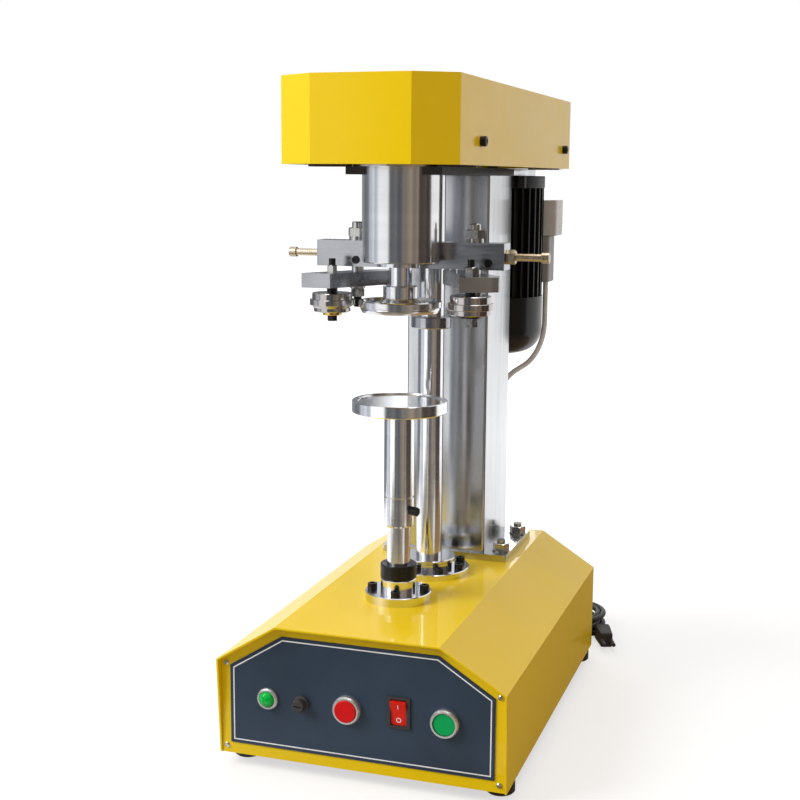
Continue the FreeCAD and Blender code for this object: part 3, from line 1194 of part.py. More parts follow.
def make_motor():
    x, y = d.motor_x, motor_y
    bore = d.motor_shaft + d.shaft_gap
    cap = rod(d.motor_cap_radius, d.motor_cap, x, y, motor_cap_low)
    lugs = [rod(d.motor_lug, d.motor_cap, *spot, motor_cap_low)
            for spot in ring_places(d.motor_cap_radius, 4, 45, x, y)]
    node("motor_end_cap", cut(fuse(cap, *lugs), through(bore, x, y, motor_cap_low, d.plate_low)))
    body = new_body()
    section = outline(body, "XY_Plane", (), [(0, 0, d.motor_core), (0, 0, d.motor_bore)])
    core = body.newObject("PartDesign::Pad", label("Pad"))
    core.Profile = section
    bind(core, "Length", d.motor_body)
    half = d.motor_fin_thick / 2
    fin_section = outline(body, "XY_Plane", block_outline(d.motor_core - 1, d.motor_fin, -half, half))
    fin = body.newObject("PartDesign::Pad", label("Pad"))
    fin.Profile = fin_section
    bind(fin, "Length", d.motor_body)
    fins = body.newObject("PartDesign::PolarPattern", label("Pattern"))
    fins.Originals = [fin]
    fins.Axis = (section, ["N_Axis"])
    fins.Angle = 360
    bind(fins, "Occurrences", d.motor_fins)
    body.Tip = fins
    node("motor_body", place(body, x, y, motor_low))
    outer = rounded_cup(d.cowl_radius, d.cowl_height, d.cowl_round, x, y, cowl_low)
    wall = d.cowl_sheet
    inner = rounded_cup(d.cowl_radius - wall, d.cowl_height, d.cowl_round - wall, x, y, cowl_low + wall)
    holes = [through(3, *spot, cowl_low, cowl_low + wall)
             for radius, number in ((10, 6), (20, 12))
             for spot in ring_places(term(radius), number, 0, x, y)]
    node("fan_cowl", cut(outer, inner, *holes))
    shaft_low = motor_low - d.fan_shaft
    disc_low = motor_low - d.fan_drop
    shaft = rod(d.motor_shaft, pulley_low + d.pulley_face - shaft_low, x, y, shaft_low)
    core = rod(d.rotor_radius, d.motor_body - 2 * d.rotor_gap, x, y, motor_low + d.rotor_gap)
    disc = rod(d.fan_radius, 2, x, y, disc_low)
    hub = rod(d.motor_shaft + 5, d.fan_blade + 2, x, y, disc_low - d.fan_blade)
    blades = []
    for index in range(4):
        blade = box(-d.fan_radius, d.fan_radius, -1, 1, 0, d.fan_blade)
        spin = index * 45
        radius = d.fan_radius
        corner_x = x - radius * cosine(spin) + sine(spin)
        corner_y = y - radius * sine(spin) - cosine(spin)
        place(blade, corner_x, corner_y, disc_low - d.fan_blade + 1, Rotation(Vector(0, 0, 1), spin))
        blades.append(blade)
    node("motor_rotor", fuse(shaft, core, disc, hub, *blades))


def rounded_cup(radius, height, edge_radius, x, y, z):
    body = padded("XY_Plane", (), height, [(0, 0, radius)], x, y, z)
    return softened(body, edge_radius, lambda edge: edge.CenterOfMass.z < 1)


def pulley_profile(belt_radius, bore):
    """A flat-bottomed groove for the belt, between two flanges."""
    outer = belt_radius + d.pulley_flange
    floor = belt_radius - d.belt_thick / 2 - d.fit_gap
    side = (d.pulley_face - d.belt_wide) / 2 - d.fit_gap
    face = d.pulley_face
    return [(bore, 0), (outer, 0), (outer, side - 0.5), (floor, side), (floor, face - side),
            (outer, face - side + 0.5), (outer, face), (bore, face)]


def toothed_wheel(teeth, radius, first):
    """A straight-toothed disc: first is the angle of one tooth's middle, in degrees."""
    module = d.gear_module.value
    pitch = 2 * math.pi / teeth
    low, high = radius - 1.25 * module, radius + 0.8 * module
    corners = []
    for index in range(int(teeth)):
        middle = math.radians(first) + index * pitch
        for reach, share in ((low, -0.3), (high, -0.13), (high, 0.13), (low, 0.3)):
            angle = middle + share * pitch
            corners.append(Vector(reach * math.cos(angle), reach * math.sin(angle), 0))
    face = Part.Face(Part.makePolygon(corners + corners[:1]))
    return face.extrude(Vector(0, 0, d.gear_face.value))


def make_drive():
    bore = d.spindle_radius + d.shaft_gap
    half_tooth = 180 / d.pinion_teeth.value
    pinion = shaped(toothed_wheel(d.pinion_teeth.value, pinion_radius.value, 90 + half_tooth),
                    0, spindle_y, gear_low)
    pulley = turned(pulley_profile(d.pulley_belt, bore), 0, spindle_y, pulley_low)
    neck = rod(pinion_radius - 5, pulley_low - gear_low, 0, spindle_y, gear_low)
    hole = through(bore, 0, spindle_y, gear_low, pulley_low)
    node("spindle_pulley", cut(fuse(pinion, pulley, neck), hole))
    bore = d.cam_shaft_radius + d.shaft_gap
    wheel = shaped(toothed_wheel(d.gear_teeth.value, gear_radius.value, -90), 0, cam_y, gear_low)
    tools = [through(bore, 0, cam_y, gear_low, gear_low + d.gear_face)]
    middle = gear_radius * 0.58
    for spot in ring_places(middle, 6, 0, 0, cam_y):
        tools.append(through(gear_radius * 0.2, *spot, gear_low, gear_low + d.gear_face))
    node("cam_gear", cut(wheel, *tools))
    bore = d.motor_shaft + d.shaft_gap
    node("motor_pulley", turned(pulley_profile(d.motor_belt, bore), d.motor_x, motor_y, pulley_low))
    node("drive_belt", shaped(belt_shape(), 0, spindle_y, belt_low))


def belt_loop(big, small, run_x, run_y):
    """The closed line round two circles, the big one at the origin."""
    distance = math.hypot(run_x, run_y)
    heading = math.atan2(run_y, run_x)
    lean = math.acos((big - small) / distance)
    start, finish = heading + lean, heading + 2 * math.pi - lean
    centre, other = Vector(0, 0, 0), Vector(run_x, run_y, 0)
    big_arc = arc_edge(centre, big, start, finish)
    small_arc = arc_edge(other, small, heading - lean, heading + lean)
    first = Part.makeLine(big_arc.Vertexes[-1].Point, small_arc.Vertexes[0].Point)
    second = Part.makeLine(small_arc.Vertexes[-1].Point, big_arc.Vertexes[0].Point)
    return Part.Wire([big_arc, first, small_arc, second])


def arc_edge(centre, radius, start, finish):
    angles = (start, (start + finish) / 2, finish)
    points = [centre + Vector(radius * math.cos(a), radius * math.sin(a), 0) for a in angles]
    return Part.Arc(*points).toShape()


def belt_shape():
    half = d.belt_thick.value / 2
    big, small = d.pulley_belt.value, d.motor_belt.value
    run = d.motor_x.value, (motor_y - spindle_y).value
    outside = Part.Face(belt_loop(big + half, small + half, *run))
    inside = Part.Face(belt_loop(big - half, small - half, *run))
    return outside.cut(inside).extrude(Vector(0, 0, d.belt_wide.value))


def motor_hole(z0, z1):
    """The tool that fits a box to the round motor."""
    return through(d.motor_fin + d.fit_gap, d.motor_x, motor_y, z0, z1)


def make_boxes():
    y0 = motor_y + d.box_front_setback
    top = d.box_low + d.box_tall
    outside = block_outline(d.box_in, d.box_out, 0, d.box_deep)
    case = padded("XY_Plane", outside, d.box_tall, y=y0, z=d.box_low)
    softened(case, term(2.5), lambda edge: is_upright(edge) and edge.CenterOfMass.x > d.box_in.value + 1)
    node("terminal_box", cut(case, motor_hole(d.box_low, top)))
    low = d.box_low - d.fit_gap - d.capacitor_tall
    outside = block_outline(d.box_in, d.capacitor_out, 0, d.capacitor_deep)
    case = padded("XY_Plane", outside, d.capacitor_tall, y=y0 + 2, z=low)
    softened(case, term(2.5), lambda edge: is_upright(edge) and edge.CenterOfMass.x > d.box_in.value + 1)
    node("capacitor_box", cut(case, motor_hole(low, d.box_low)))
    y = y0 + 2 + d.capacitor_deep / 2
    x = d.capacitor_out - 7
    route = [(x, y, low), (x, y, low - 92), (d.cable_x, cable_y, cowl_low - 36), (d.cable_x, cable_y, 200),
             (d.cable_x, cable_y, frame_top - 1)]
    node("motor_cable", shaped(tube(route, d.cable_radius)))


def tube(route, radius):
    """A round tube along straight runs, with arcs that touch both runs at each corner."""
    points = [Vector(*[term(value).value for value in point]) for point in route]
    edges = []
    last = points[0]
    for before, corner, after in zip(points, points[1:], points[2:]):
        into, out = corner - before, after - corner
        shorter = min(into.Length, out.Length)
        turn = into.getAngle(out)
        if turn < 0.01:
            continue
        into.normalize()
        out.normalize()
        reach = 0.45 * shorter
        arc_radius = reach / math.tan(turn / 2)
        start, finish = corner - into * reach, corner + out * reach
        inward = (out - into).normalize()
        middle = corner + inward * (arc_radius / math.cos(turn / 2) - arc_radius)
        edges.append(Part.makeLine(last, start))
        edges.append(Part.Arc(start, middle, finish).toShape())
        print(f"bend radius {arc_radius:.1f} mm, {arc_radius / radius.value / 2:.1f} diameters")
        last = finish
    edges.append(Part.makeLine(last, points[-1]))
    path = Part.Wire(edges)
    heading = points[1] - points[0]
    section = Part.Wire(Part.makeCircle(radius.value, points[0], heading))
    solid = path.makePipeShell([section], True, False)
    ratio = solid.Volume / (path.Length * math.pi * radius.value ** 2)
    print(f"tube of {path.Length:.0f} mm, volume ratio {ratio:.4f}")
    return solid


gland_x = d.coil_x - d.coil_middle - d.cord_radius + d.turn_overlap / 2
gland_z = base_low + d.gland_up
gland_thread = term(7.5)
gland_end = rear + d.gland_length
row_step = d.cord_radius * 2 - d.turn_overlap
top_row = d.cord_radius + row_step * 2
cord_drop = gland_z - top_row
cord_run = term(26)
cord_slope = root(cord_run * cord_run - cord_drop * cord_drop)
coil_y = gland_end + cord_run * 2 + cord_slope


def make_cord():
    flats, length, inner = d.gland_nut, d.gland_length, d.cord_radius + d.shaft_gap
    flange = nut(flats, 6, inner, gland_x, rear, gland_z, TO_REAR)
    dome = [(inner, 0), (flats - 1.5, 0), (flats - 1.5, length - 8), (flats - 4, length - 1),
            (flats - 4.6, length), (inner, length)]
    cap = turned(dome, gland_x, rear, gland_z, TO_REAR)
    thread = [(inner, 0), (gland_thread, 0), (gland_thread, 14), (inner, 14)]
    barrel = turned(thread, gland_x, rear, gland_z, TO_FRONT)
    lock = nut(flats, 4, inner, gland_x, rear - d.sheet_wall - d.fit_gap / 3, gland_z, TO_FRONT)
    node("cord_gland", fuse(flange, cap, barrel, lock))
    y1 = gland_end + cord_run
    route = [(gland_x, gland_end, gland_z), (gland_x, y1, gland_z), (gland_x, y1 + cord_slope, top_row),
             (gland_x, coil_y, top_row)]
    node("power_cord", shaped(tube(route, d.cord_radius)))
    turns = []
    half_step = d.cord_radius - d.turn_overlap / 2
    for row in range(3):
        for side in (-1, 1):
            turns.append(ring(d.coil_middle + half_step * side, d.cord_radius, d.coil_x, coil_y,
                              d.cord_radius + row_step * row))
    low, high = d.cord_radius, d.cord_radius + row_step * 2
    middle = d.coil_middle
    heart = turned([(middle - half_step, low), (middle + half_step, low), (middle + half_step, high),
                    (middle - half_step, high)], d.coil_x, coil_y)
    node("cord_coil", fuse(*turns, heart))


def make_plug():
    half, length = d.plug_half, d.plug_length
    relief = 14
    x, y = d.coil_x + d.coil_middle + d.cord_radius, coil_y - 8
    body = padded("XY_Plane", [(-half, 0), (half, 0), (half, 8), (half - 2, length), (2 - half, length),
                               (-half, 8)], half * 2)
    softened(body, term(2.5), lambda edge: True)
    sleeve = rod(d.cord_radius + 1.5, relief + 4, 0, -relief, half, TO_REAR)
    pins = [rod(2.4, 19, side * 6, length - 1, half, TO_REAR) for side in (-0.95, 0.95)]
    plug = fuse(body, sleeve, *pins)
    lift = relief * cosine(d.plug_turn)
    shift = relief * sine(d.plug_turn)
    turn = Rotation(Vector(0, 0, 1), 180 + d.plug_turn.value)
    place(plug, x + shift, y - lift, 0, turn)
    node("plug", plug)


make_base_cover()
make_panels()
make_panel_screws()
make_tray()
make_feet()
make_inner_frame()
make_controls()
make_switch()
make_lifter()
make_spindle()
make_cam_shaft()
make_lever()
make_column()
make_studs()
make_socket_screws()
make_head_plate()
make_top_cover()
make_beam()
make_arms()
make_rollers()
make_motor()
make_drive()
make_boxes()
make_cord()
make_plug()
doc.recompute()

for item in doc.Objects:
    if "Invalid" in item.State or "Error" in item.State:
        raise RuntimeError(f"{item.Name} {item.Label} has a fault: {item.State}")
os.makedirs("parts", exist_ok=True)
for name, item in nodes.items():
    shape = item.Shape
    if shape.isNull() or not shape.isValid() or not shape.Solids:
        raise RuntimeError(f"{name} has no valid shape")
    shape.exportStep(f"parts/{name}.step")
    print(name, len(shape.Solids), round(shape.Volume / 1000, 2))
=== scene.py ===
"""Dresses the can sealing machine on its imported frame, and sets up its stage."""
import json
import math
from contextlib import contextmanager

import bmesh
import bpy
from bpy.props import FloatProperty, FloatVectorProperty, IntProperty, PointerProperty
from bpy.types import Operator, Panel, PropertyGroup
from mathutils import Matrix, Vector

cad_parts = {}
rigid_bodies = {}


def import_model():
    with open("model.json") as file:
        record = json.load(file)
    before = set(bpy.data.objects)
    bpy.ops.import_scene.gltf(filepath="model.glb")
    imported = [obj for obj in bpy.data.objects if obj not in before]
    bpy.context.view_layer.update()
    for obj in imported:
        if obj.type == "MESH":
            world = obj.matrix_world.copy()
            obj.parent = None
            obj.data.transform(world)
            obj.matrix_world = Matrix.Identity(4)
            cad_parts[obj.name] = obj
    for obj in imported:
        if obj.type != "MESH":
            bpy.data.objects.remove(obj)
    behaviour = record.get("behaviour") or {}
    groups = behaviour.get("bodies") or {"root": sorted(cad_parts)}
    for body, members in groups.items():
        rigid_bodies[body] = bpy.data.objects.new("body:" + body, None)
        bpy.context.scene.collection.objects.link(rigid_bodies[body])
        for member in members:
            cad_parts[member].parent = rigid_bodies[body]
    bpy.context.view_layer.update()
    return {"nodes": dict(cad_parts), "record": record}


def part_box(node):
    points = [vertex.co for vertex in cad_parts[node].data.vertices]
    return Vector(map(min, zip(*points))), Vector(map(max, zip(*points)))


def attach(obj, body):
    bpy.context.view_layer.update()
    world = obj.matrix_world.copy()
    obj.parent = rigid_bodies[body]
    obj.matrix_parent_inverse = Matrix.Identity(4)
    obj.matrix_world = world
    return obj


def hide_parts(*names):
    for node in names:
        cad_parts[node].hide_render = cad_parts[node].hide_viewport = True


bl_info = {
    "name": "Can Sealing Machine",
    "version": (1, 0, 0),
    "blender": (4, 5, 0),
    "location": "3D View > Sidebar > Sealer",
    "description": "Dresses the can sealing machine, piece by piece, and sets up its stage",
    "category": "Object",
}

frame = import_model()
RECORD = frame["record"]
BODY = {node: body for body, nodes in RECORD["behaviour"]["bodies"].items() for node in nodes}


def axis(node):
    """The vertical axis of a turned node, as x and y to a tenth of a millimetre."""
    low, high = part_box(node)
    return round((low.x + high.x) / 2, 4), round((low.y + high.y) / 2, 4)


SPINDLE = axis("spindle_shaft")
CAM = axis("cam_shaft")
ROLLERS = {side: axis(side + "_roller") for side in ("left", "right")}
STUDS = (
    (-0.060, -0.0995), (0.067, -0.0995), (-0.064, 0.049),
    (0.064, 0.049), (-0.064, 0.131), (0.064, 0.131),
)

# Reaches that tell the faces of one form on a piece from the others, in metres
STUD_RADIUS = 0.0047
BOLT_RADIUS = 0.0042
BOLT_HEAD = 0.0085
BOLT_SOCKET = 0.001
SLEEVE_RADIUS = 0.0166
CLAMP_SCREW = (0.011, 0.025)
REAR_BAR = 0.02

# How a node's mesh is cleaned, in metres and degrees
MERGE_REACH = 0.000002
FLAT_ANGLE = 0.4
SMOOTH_ANGLE = 30

# Print on the control plate and on the rocker, in metres
PRINT_SINK = 0.0001
LINE_THICK = 0.0002
MARK_THICK = 0.00012
MARK_RISE = 0.0072
MARK_RAY = 0.05
BAR_WIDTH, BAR_LENGTH = 0.0008, 0.005
RING_RADIUS, RING_WIDTH = 0.0026, 0.0008

# The power cord from its gland to its coil, and from the coil to its plug
CORD_START = (
    (0.0621, 0.199, 0.032), (0.0621, 0.222, 0.032),
    (0.0614, 0.240, 0.0295), (0.0602, 0.258, 0.0255),
)
CORD_END = ((0.1484, 0.266, 0.0103), (0.1492, 0.258, 0.0098), (0.1522, 0.249, 0.0095))

# The coil: its middle, the bearing that it starts at, and its stops as degrees, column and row.
# Column 1 is the outer one, and row 0 lies on the ground.
COIL_MIDDLE = (0.104, 0.2743)
COIL_BEARING = 180
COIL_STOPS = (
    (0, 1, 3), (270, 1, 3), (360, 0, 3), (540, 0, 3), (630, 0, 2), (810, 0, 2), (900, 0, 1),
    (1080, 0, 1), (1170, 0, 0), (1350, 0, 0), (1440, 1, 0), (1620, 1, 0), (1710, 1, 1),
    (1980, 1, 1),
)

# Steps of length and growth that a disc is drawn out in
BOOT_RADIUS = 0.0064
BOOT_RIB = ((0.0028, 0.965), (0.0002, 0.88), (0.0012, 1.0), (0.0002, 1.08))
BOOT_STEPS = BOOT_RIB * 5 + ((0.002, 0.97),)
WASHER_RADIUS = 0.0094
WASHER_DROP = 0.0034
WASHER_STEPS = ((0.0004, 1.04), (0.0022, 1.0), (0.0004, 0.96))

# The photograph's camera, in metres, degrees and millimetres
CAMERA_PLACE = (0.4282, -1.42484, 0.59318)
CAMERA_YAW, CAMERA_DROP, CAMERA_ROLL = 18.38, 9.45, 0.38
CAMERA_LENS, CAMERA_SENSOR = 60.27, 36

WHITE = (1.0, 1.0, 1.0)
BLACK = (0.0, 0.0, 0.0)

# Lamps: name, place, size, watts, tint
LAMP_AIM = (0, 0, 0.35)
LAMPS = (
    ("key_lamp", (-1.75, -1.45, 1.7), 1.4, 62, WHITE),
    ("fill_lamp", (1.8, -1.1, 1.2), 1.4, 9, (1.0, 0.62, 0.34)),
    ("top_lamp", (0.0, 0.2, 2.4), 1.6, 20, WHITE),
    ("rear_lamp", (-1.0, 2.1, 1.3), 1.4, 18, WHITE),
)

# Upright cards round the machine: name, bearing, spread, shade
FLAG_DISTANCE, FLAG_MIDDLE, FLAG_HEIGHT = 0.95, 0.75, 2.2
FLAGS = (
    ("front_card", -86, 42, (0.13, 0.132, 0.14)),
    ("warm_card", -48, 48, (0.26, 0.215, 0.175)),
    ("side_card", -4, 56, (0.07, 0.055, 0.048)),
    ("rear_card", 150, 90, (0.22, 0.23, 0.25)),
    ("left_card", -150, 34, (0.62, 0.65, 0.72)),
)

# Cards on the floor: name, place, size, shade
FLOOR_CARDS = (
    # The side card is a painted shadow: a brown sheet for the floor's shade beside the base, which
    # only metal and gloss show
    ("floor_shadow_card", (0.5, 0.15, 0.001), (1.25, 0.95), (0.36, 0.23, 0.11)),
    ("front_floor_card", (0.0, -0.85, 0.001), (1.5, 0.9), (0.3, 0.26, 0.19)),
)

# A card fades out over its sides, and its light has folds of place and factor
CARD_EDGE = 0.13
CARD_FOLDS = ((0.0, 0.7), (0.3, 1.0), (0.48, 1.45), (0.66, 0.75), (1.0, 1.3))

# The room's soft light, and the floor, which glows to white away from the machine
ROOM_LIGHT = 0.34
FLOOR_SIZE = 30
FLOOR_SHADE = (0.4, 0.4, 0.4)
FLOOR_FADE = {"From Min": 0.45, "From Max": 1.6, "To Min": 0.62, "To Max": 1.0}


def colour(name, default, about):
    return FloatVectorProperty(
        name=name, description=about, default=default, subtype="COLOR", min=0.0, max=1.0)


def length(name, default, about):
    return FloatProperty(name=name, description=about, default=default, unit="LENGTH", precision=5)


class SealerColours(PropertyGroup):
    paint: colour("Paint", (0.87, 0.60, 0.001), "Gloss paint of the base and the top cover")
    plate: colour("Control plate", (0.025, 0.044, 0.073), "Printed control plate")
    steel: colour("Plated steel", (0.80, 0.81, 0.83), "Shafts, bush housings, sleeve and seat")
    chrome: colour("Chrome", (0.74, 0.745, 0.76), "Spindle housing, chuck and cam followers")
    roller: colour("Roller steel", (0.50, 0.475, 0.46), "Seaming rollers")
    dark: colour("Dark steel", (0.40, 0.41, 0.435), "Beam, arms and cams")
    red: colour("Red", (0.68, 0.006, 0.008), "Stop button")
    green: colour("Green", (0.001, 0.39, 0.10), "Start button")
    lens: colour("Lens", (0.001, 0.5, 0.06), "Signal lamp")
    cowl: colour("Fan cowl", (0.011, 0.0115, 0.012), "Paint of the fan cowl")


class SealerSizes(PropertyGroup):
    sheet_edge: length("Sheet edge", 0.0004, "Rounding of the sheet metal's cut edges")
    block_edge: length("Block edge", 0.0007, "Rounding of the machined blocks")
    fine_edge: length("Fine edge", 0.0002, "Rounding of the screws and bolts")
    small_edge: length("Small edge", 0.0003, "Rounding of the control plate and the rocker")
    turned_edge: length("Turned edge", 0.0004, "Rounding of the cams and the switch frame")
    plug_edge: length("Plug edge", 0.0006, "Rounding of the plug")
    cast_edge: length("Cast edge", 0.0008, "Rounding of the motor's end cap")
    box_edge: length("Box edge", 0.0012, "Rounding of the motor's boxes")
    line_inset: length("Line inset", 0.0034, "White line inside the control plate's edge")
    line_width: length("Line width", 0.0012, "White line on the control plate")
    cord_thick: length("Cord thickness", 0.007, "Power cord")
    coil_inner: length("Inner turns", 0.037, "Middle of the coil's inner turns")
    coil_outer: length("Outer turns", 0.044, "Middle of the coil's outer turns")
    coil_steps: IntProperty(
        name="Points per turn", description="Points of the cord on each turn", default=20, min=12)


def colours():
    return bpy.context.scene.sealer_colours


def sizes():
    return bpy.context.scene.sealer_sizes


def add_node(tree, kind, values=None, links=None, **settings):
    """A new shader node with its settings, its sockets' values and the links into them."""
    node = tree.nodes.new("ShaderNode" + kind)
    for name, value in settings.items():
        setattr(node, name, value)
    for socket, value in (values or {}).items():
        node.inputs[socket].default_value = value
    for socket, source in (links or {}).items():
        tree.links.new(source, node.inputs[socket])
    return node


def ramp(tree, value, stops):
    """The value through a colour ramp with stops of (place, colour)."""
    node = add_node(tree, "ValToRGB", links={0: value})
    marks = node.color_ramp.elements
    while len(marks) < len(stops):
        marks.new(0.5)
    for mark, (at, tone) in zip(marks, stops):
        mark.position = at
        mark.color = (*tone, 1)
    return node.outputs[0]


class Finish:
    """A procedural material that is built up socket by socket."""

    def __init__(self, name, base, metallic=0.0, roughness=0.4, axis=None, **constants):
        self.material = bpy.data.materials.new(name)
        self.material.use_nodes = True
        self.tree = self.material.node_tree
        self.sockets = self.tree.nodes["Principled BSDF"].inputs
        self.base = tuple(base)
        self.sockets["Base Color"].default_value = (*base, 1)
        self.sockets["Metallic"].default_value = metallic
        self.sockets["Roughness"].default_value = roughness
        for socket, value in constants.items():
            self.sockets[socket.replace("_", " ")].default_value = value
        self.place = self.add("TexCoord").outputs["Object"]
        if axis:
            self.place = self.turned_place(axis)

    def add(self, kind, values=None, links=None, **settings):
        return add_node(self.tree, kind, values, links, **settings)

    def turned_place(self, axis):
        """Distance from a vertical axis and height, so that lathe lines run round a turned part."""
        centre = self.add("Mapping", {"Location": (-axis[0], -axis[1], 0)}, {"Vector": self.place})
        parts = self.add("SeparateXYZ", links={0: centre.outputs[0]}).outputs
        flat = self.add("CombineXYZ", links={"X": parts["X"], "Y": parts["Y"]})
        distance = self.add("VectorMath", links={0: flat.outputs[0]}, operation="LENGTH")
        joined = self.add("CombineXYZ", links={"X": distance.outputs["Value"], "Z": parts["Z"]})
        return joined.outputs[0]

    def noise(self, scale, stretch=(1, 1, 1), detail=3.0):
        mapping = self.add("Mapping", {"Scale": stretch}, {"Vector": self.place})
        grain = {"Scale": scale, "Detail": detail}
        return self.add("TexNoise", grain, {"Vector": mapping.outputs[0]}).outputs["Fac"]

    def cells(self, scale):
        return self.add("TexVoronoi", {"Scale": scale}, {"Vector": self.place}).outputs["Color"]

    def vary(self, value, *stops):
        """Base colour times a factor that changes with the value, by stops of (place, factor)."""
        tones = [(at, [min(1.0, part * factor) for part in self.base]) for at, factor in stops]
        self.tree.links.new(ramp(self.tree, value, tones), self.sockets["Base Color"])

    def rough(self, value, low, high):
        """Roughness from low to high over the middle of a noise's range."""
        spread = {"From Min": 0.3, "From Max": 0.7, "To Min": low, "To Max": high}
        result = self.add("MapRange", spread, {"Value": value}).outputs[0]
        self.tree.links.new(result, self.sockets["Roughness"])

    def bump(self, value, distance, strength):
        relief = self.add("Bump", {"Distance": distance, "Strength": strength}, {"Height": value})
        self.tree.links.new(relief.outputs[0], self.sockets["Normal"])


def gloss_paint(name, base):
    f = Finish(name, base, roughness=0.36, Coat_Weight=0.35, Coat_Roughness=0.02,
               Specular_IOR_Level=0.12)
    f.vary(f.noise(7, detail=2), (0.3, 0.975), (0.7, 1.02))
    f.rough(f.noise(30, detail=1), 0.33, 0.39)
    f.bump(f.noise(110, detail=0), 0.00004, 0.06)
    return f.material


def printed_plate(name, base):
    f = Finish(name, base, roughness=0.36, Specular_IOR_Level=0.3)
    f.vary(f.noise(14, stretch=(1, 1, 0.5)), (0.25, 0.85), (0.75, 1.22))
    f.rough(f.noise(60), 0.3, 0.42)
    f.bump(f.noise(900, detail=1), 0.00001, 0.3)
    return f.material


def lathe_steel(name, base, axis, low=0.1, high=0.22, depth=0.000004):
    f = Finish(name, base, metallic=1.0, roughness=0.2, axis=axis)
    lines = f.noise(900, detail=4)
    f.vary(f.noise(60), (0.3, 0.92), (0.7, 1.05))
    f.rough(lines, low, high)
    f.bump(lines, depth, 0.5)
    return f.material


def plated_column(name, base):
    f = Finish(name, base, metallic=1.0, roughness=0.2)
    f.vary(f.noise(26, stretch=(1, 1, 0.12), detail=5), (0.28, 0.86), (0.72, 1.06))
    f.rough(f.noise(90, stretch=(1, 1, 0.08), detail=4), 0.12, 0.24)
    f.bump(f.noise(38, stretch=(1, 1, 0.3), detail=1), 0.0001, 0.1)
    return f.material


def milled_steel(name, base):
    f = Finish(name, base, metallic=1.0, roughness=0.3)
    f.vary(f.noise(24, detail=4), (0.25, 0.85), (0.75, 1.12))
    f.rough(f.noise(300, stretch=(0.08, 1, 1), detail=3), 0.14, 0.26)
    f.bump(f.noise(600, stretch=(0.05, 1, 1), detail=1), 0.000005, 0.4)
    return f.material


def cast_iron(name, base, roughness=0.55, grain=0.0001):
    f = Finish(name, base, metallic=0.2, roughness=roughness, Specular_IOR_Level=0.35)
    f.vary(f.noise(40, detail=5), (0.25, 0.75), (0.75, 1.35))
    f.rough(f.noise(150), roughness - 0.1, roughness + 0.1)
    f.bump(f.noise(520, detail=4), grain, 0.55)
    return f.material


def black_oxide(name, base=(0.012, 0.012, 0.014)):
    f = Finish(name, base, metallic=0.6, roughness=0.34)
    f.vary(f.noise(300), (0.3, 0.7), (0.7, 1.9))
    f.rough(f.noise(700), 0.26, 0.44)
    f.bump(f.noise(1500), 0.00001, 0.4)
    return f.material


def moulded(name, base, roughness=0.35, grain=0.000012, **constants):
    f = Finish(name, base, roughness=roughness, **{"Specular_IOR_Level": 0.3, **constants})
    f.vary(f.noise(50), (0.3, 0.93), (0.7, 1.06))
    f.rough(f.noise(220), roughness - 0.05, roughness + 0.07)
    f.bump(f.noise(1100, detail=1), grain, 0.35)
    return f.material


def rubber(name, base=(0.013, 0.013, 0.014)):
    f = Finish(name, base, roughness=0.55)
    f.vary(f.noise(110), (0.3, 0.75), (0.7, 1.5))
    f.rough(f.noise(320), 0.46, 0.66)
    f.bump(f.noise(900), 0.00003, 0.5)
    return f.material


def signal_lens(name, base):
    f = Finish(name, base, roughness=0.12, Transmission_Weight=0.1, IOR=1.49,
               Specular_IOR_Level=0.25)
    f.vary(f.cells(420), (0.2, 0.85), (0.8, 1.2))
    f.rough(f.noise(300), 0.05, 0.12)
    f.bump(f.cells(520), 0.0002, 0.12)
    return f.material


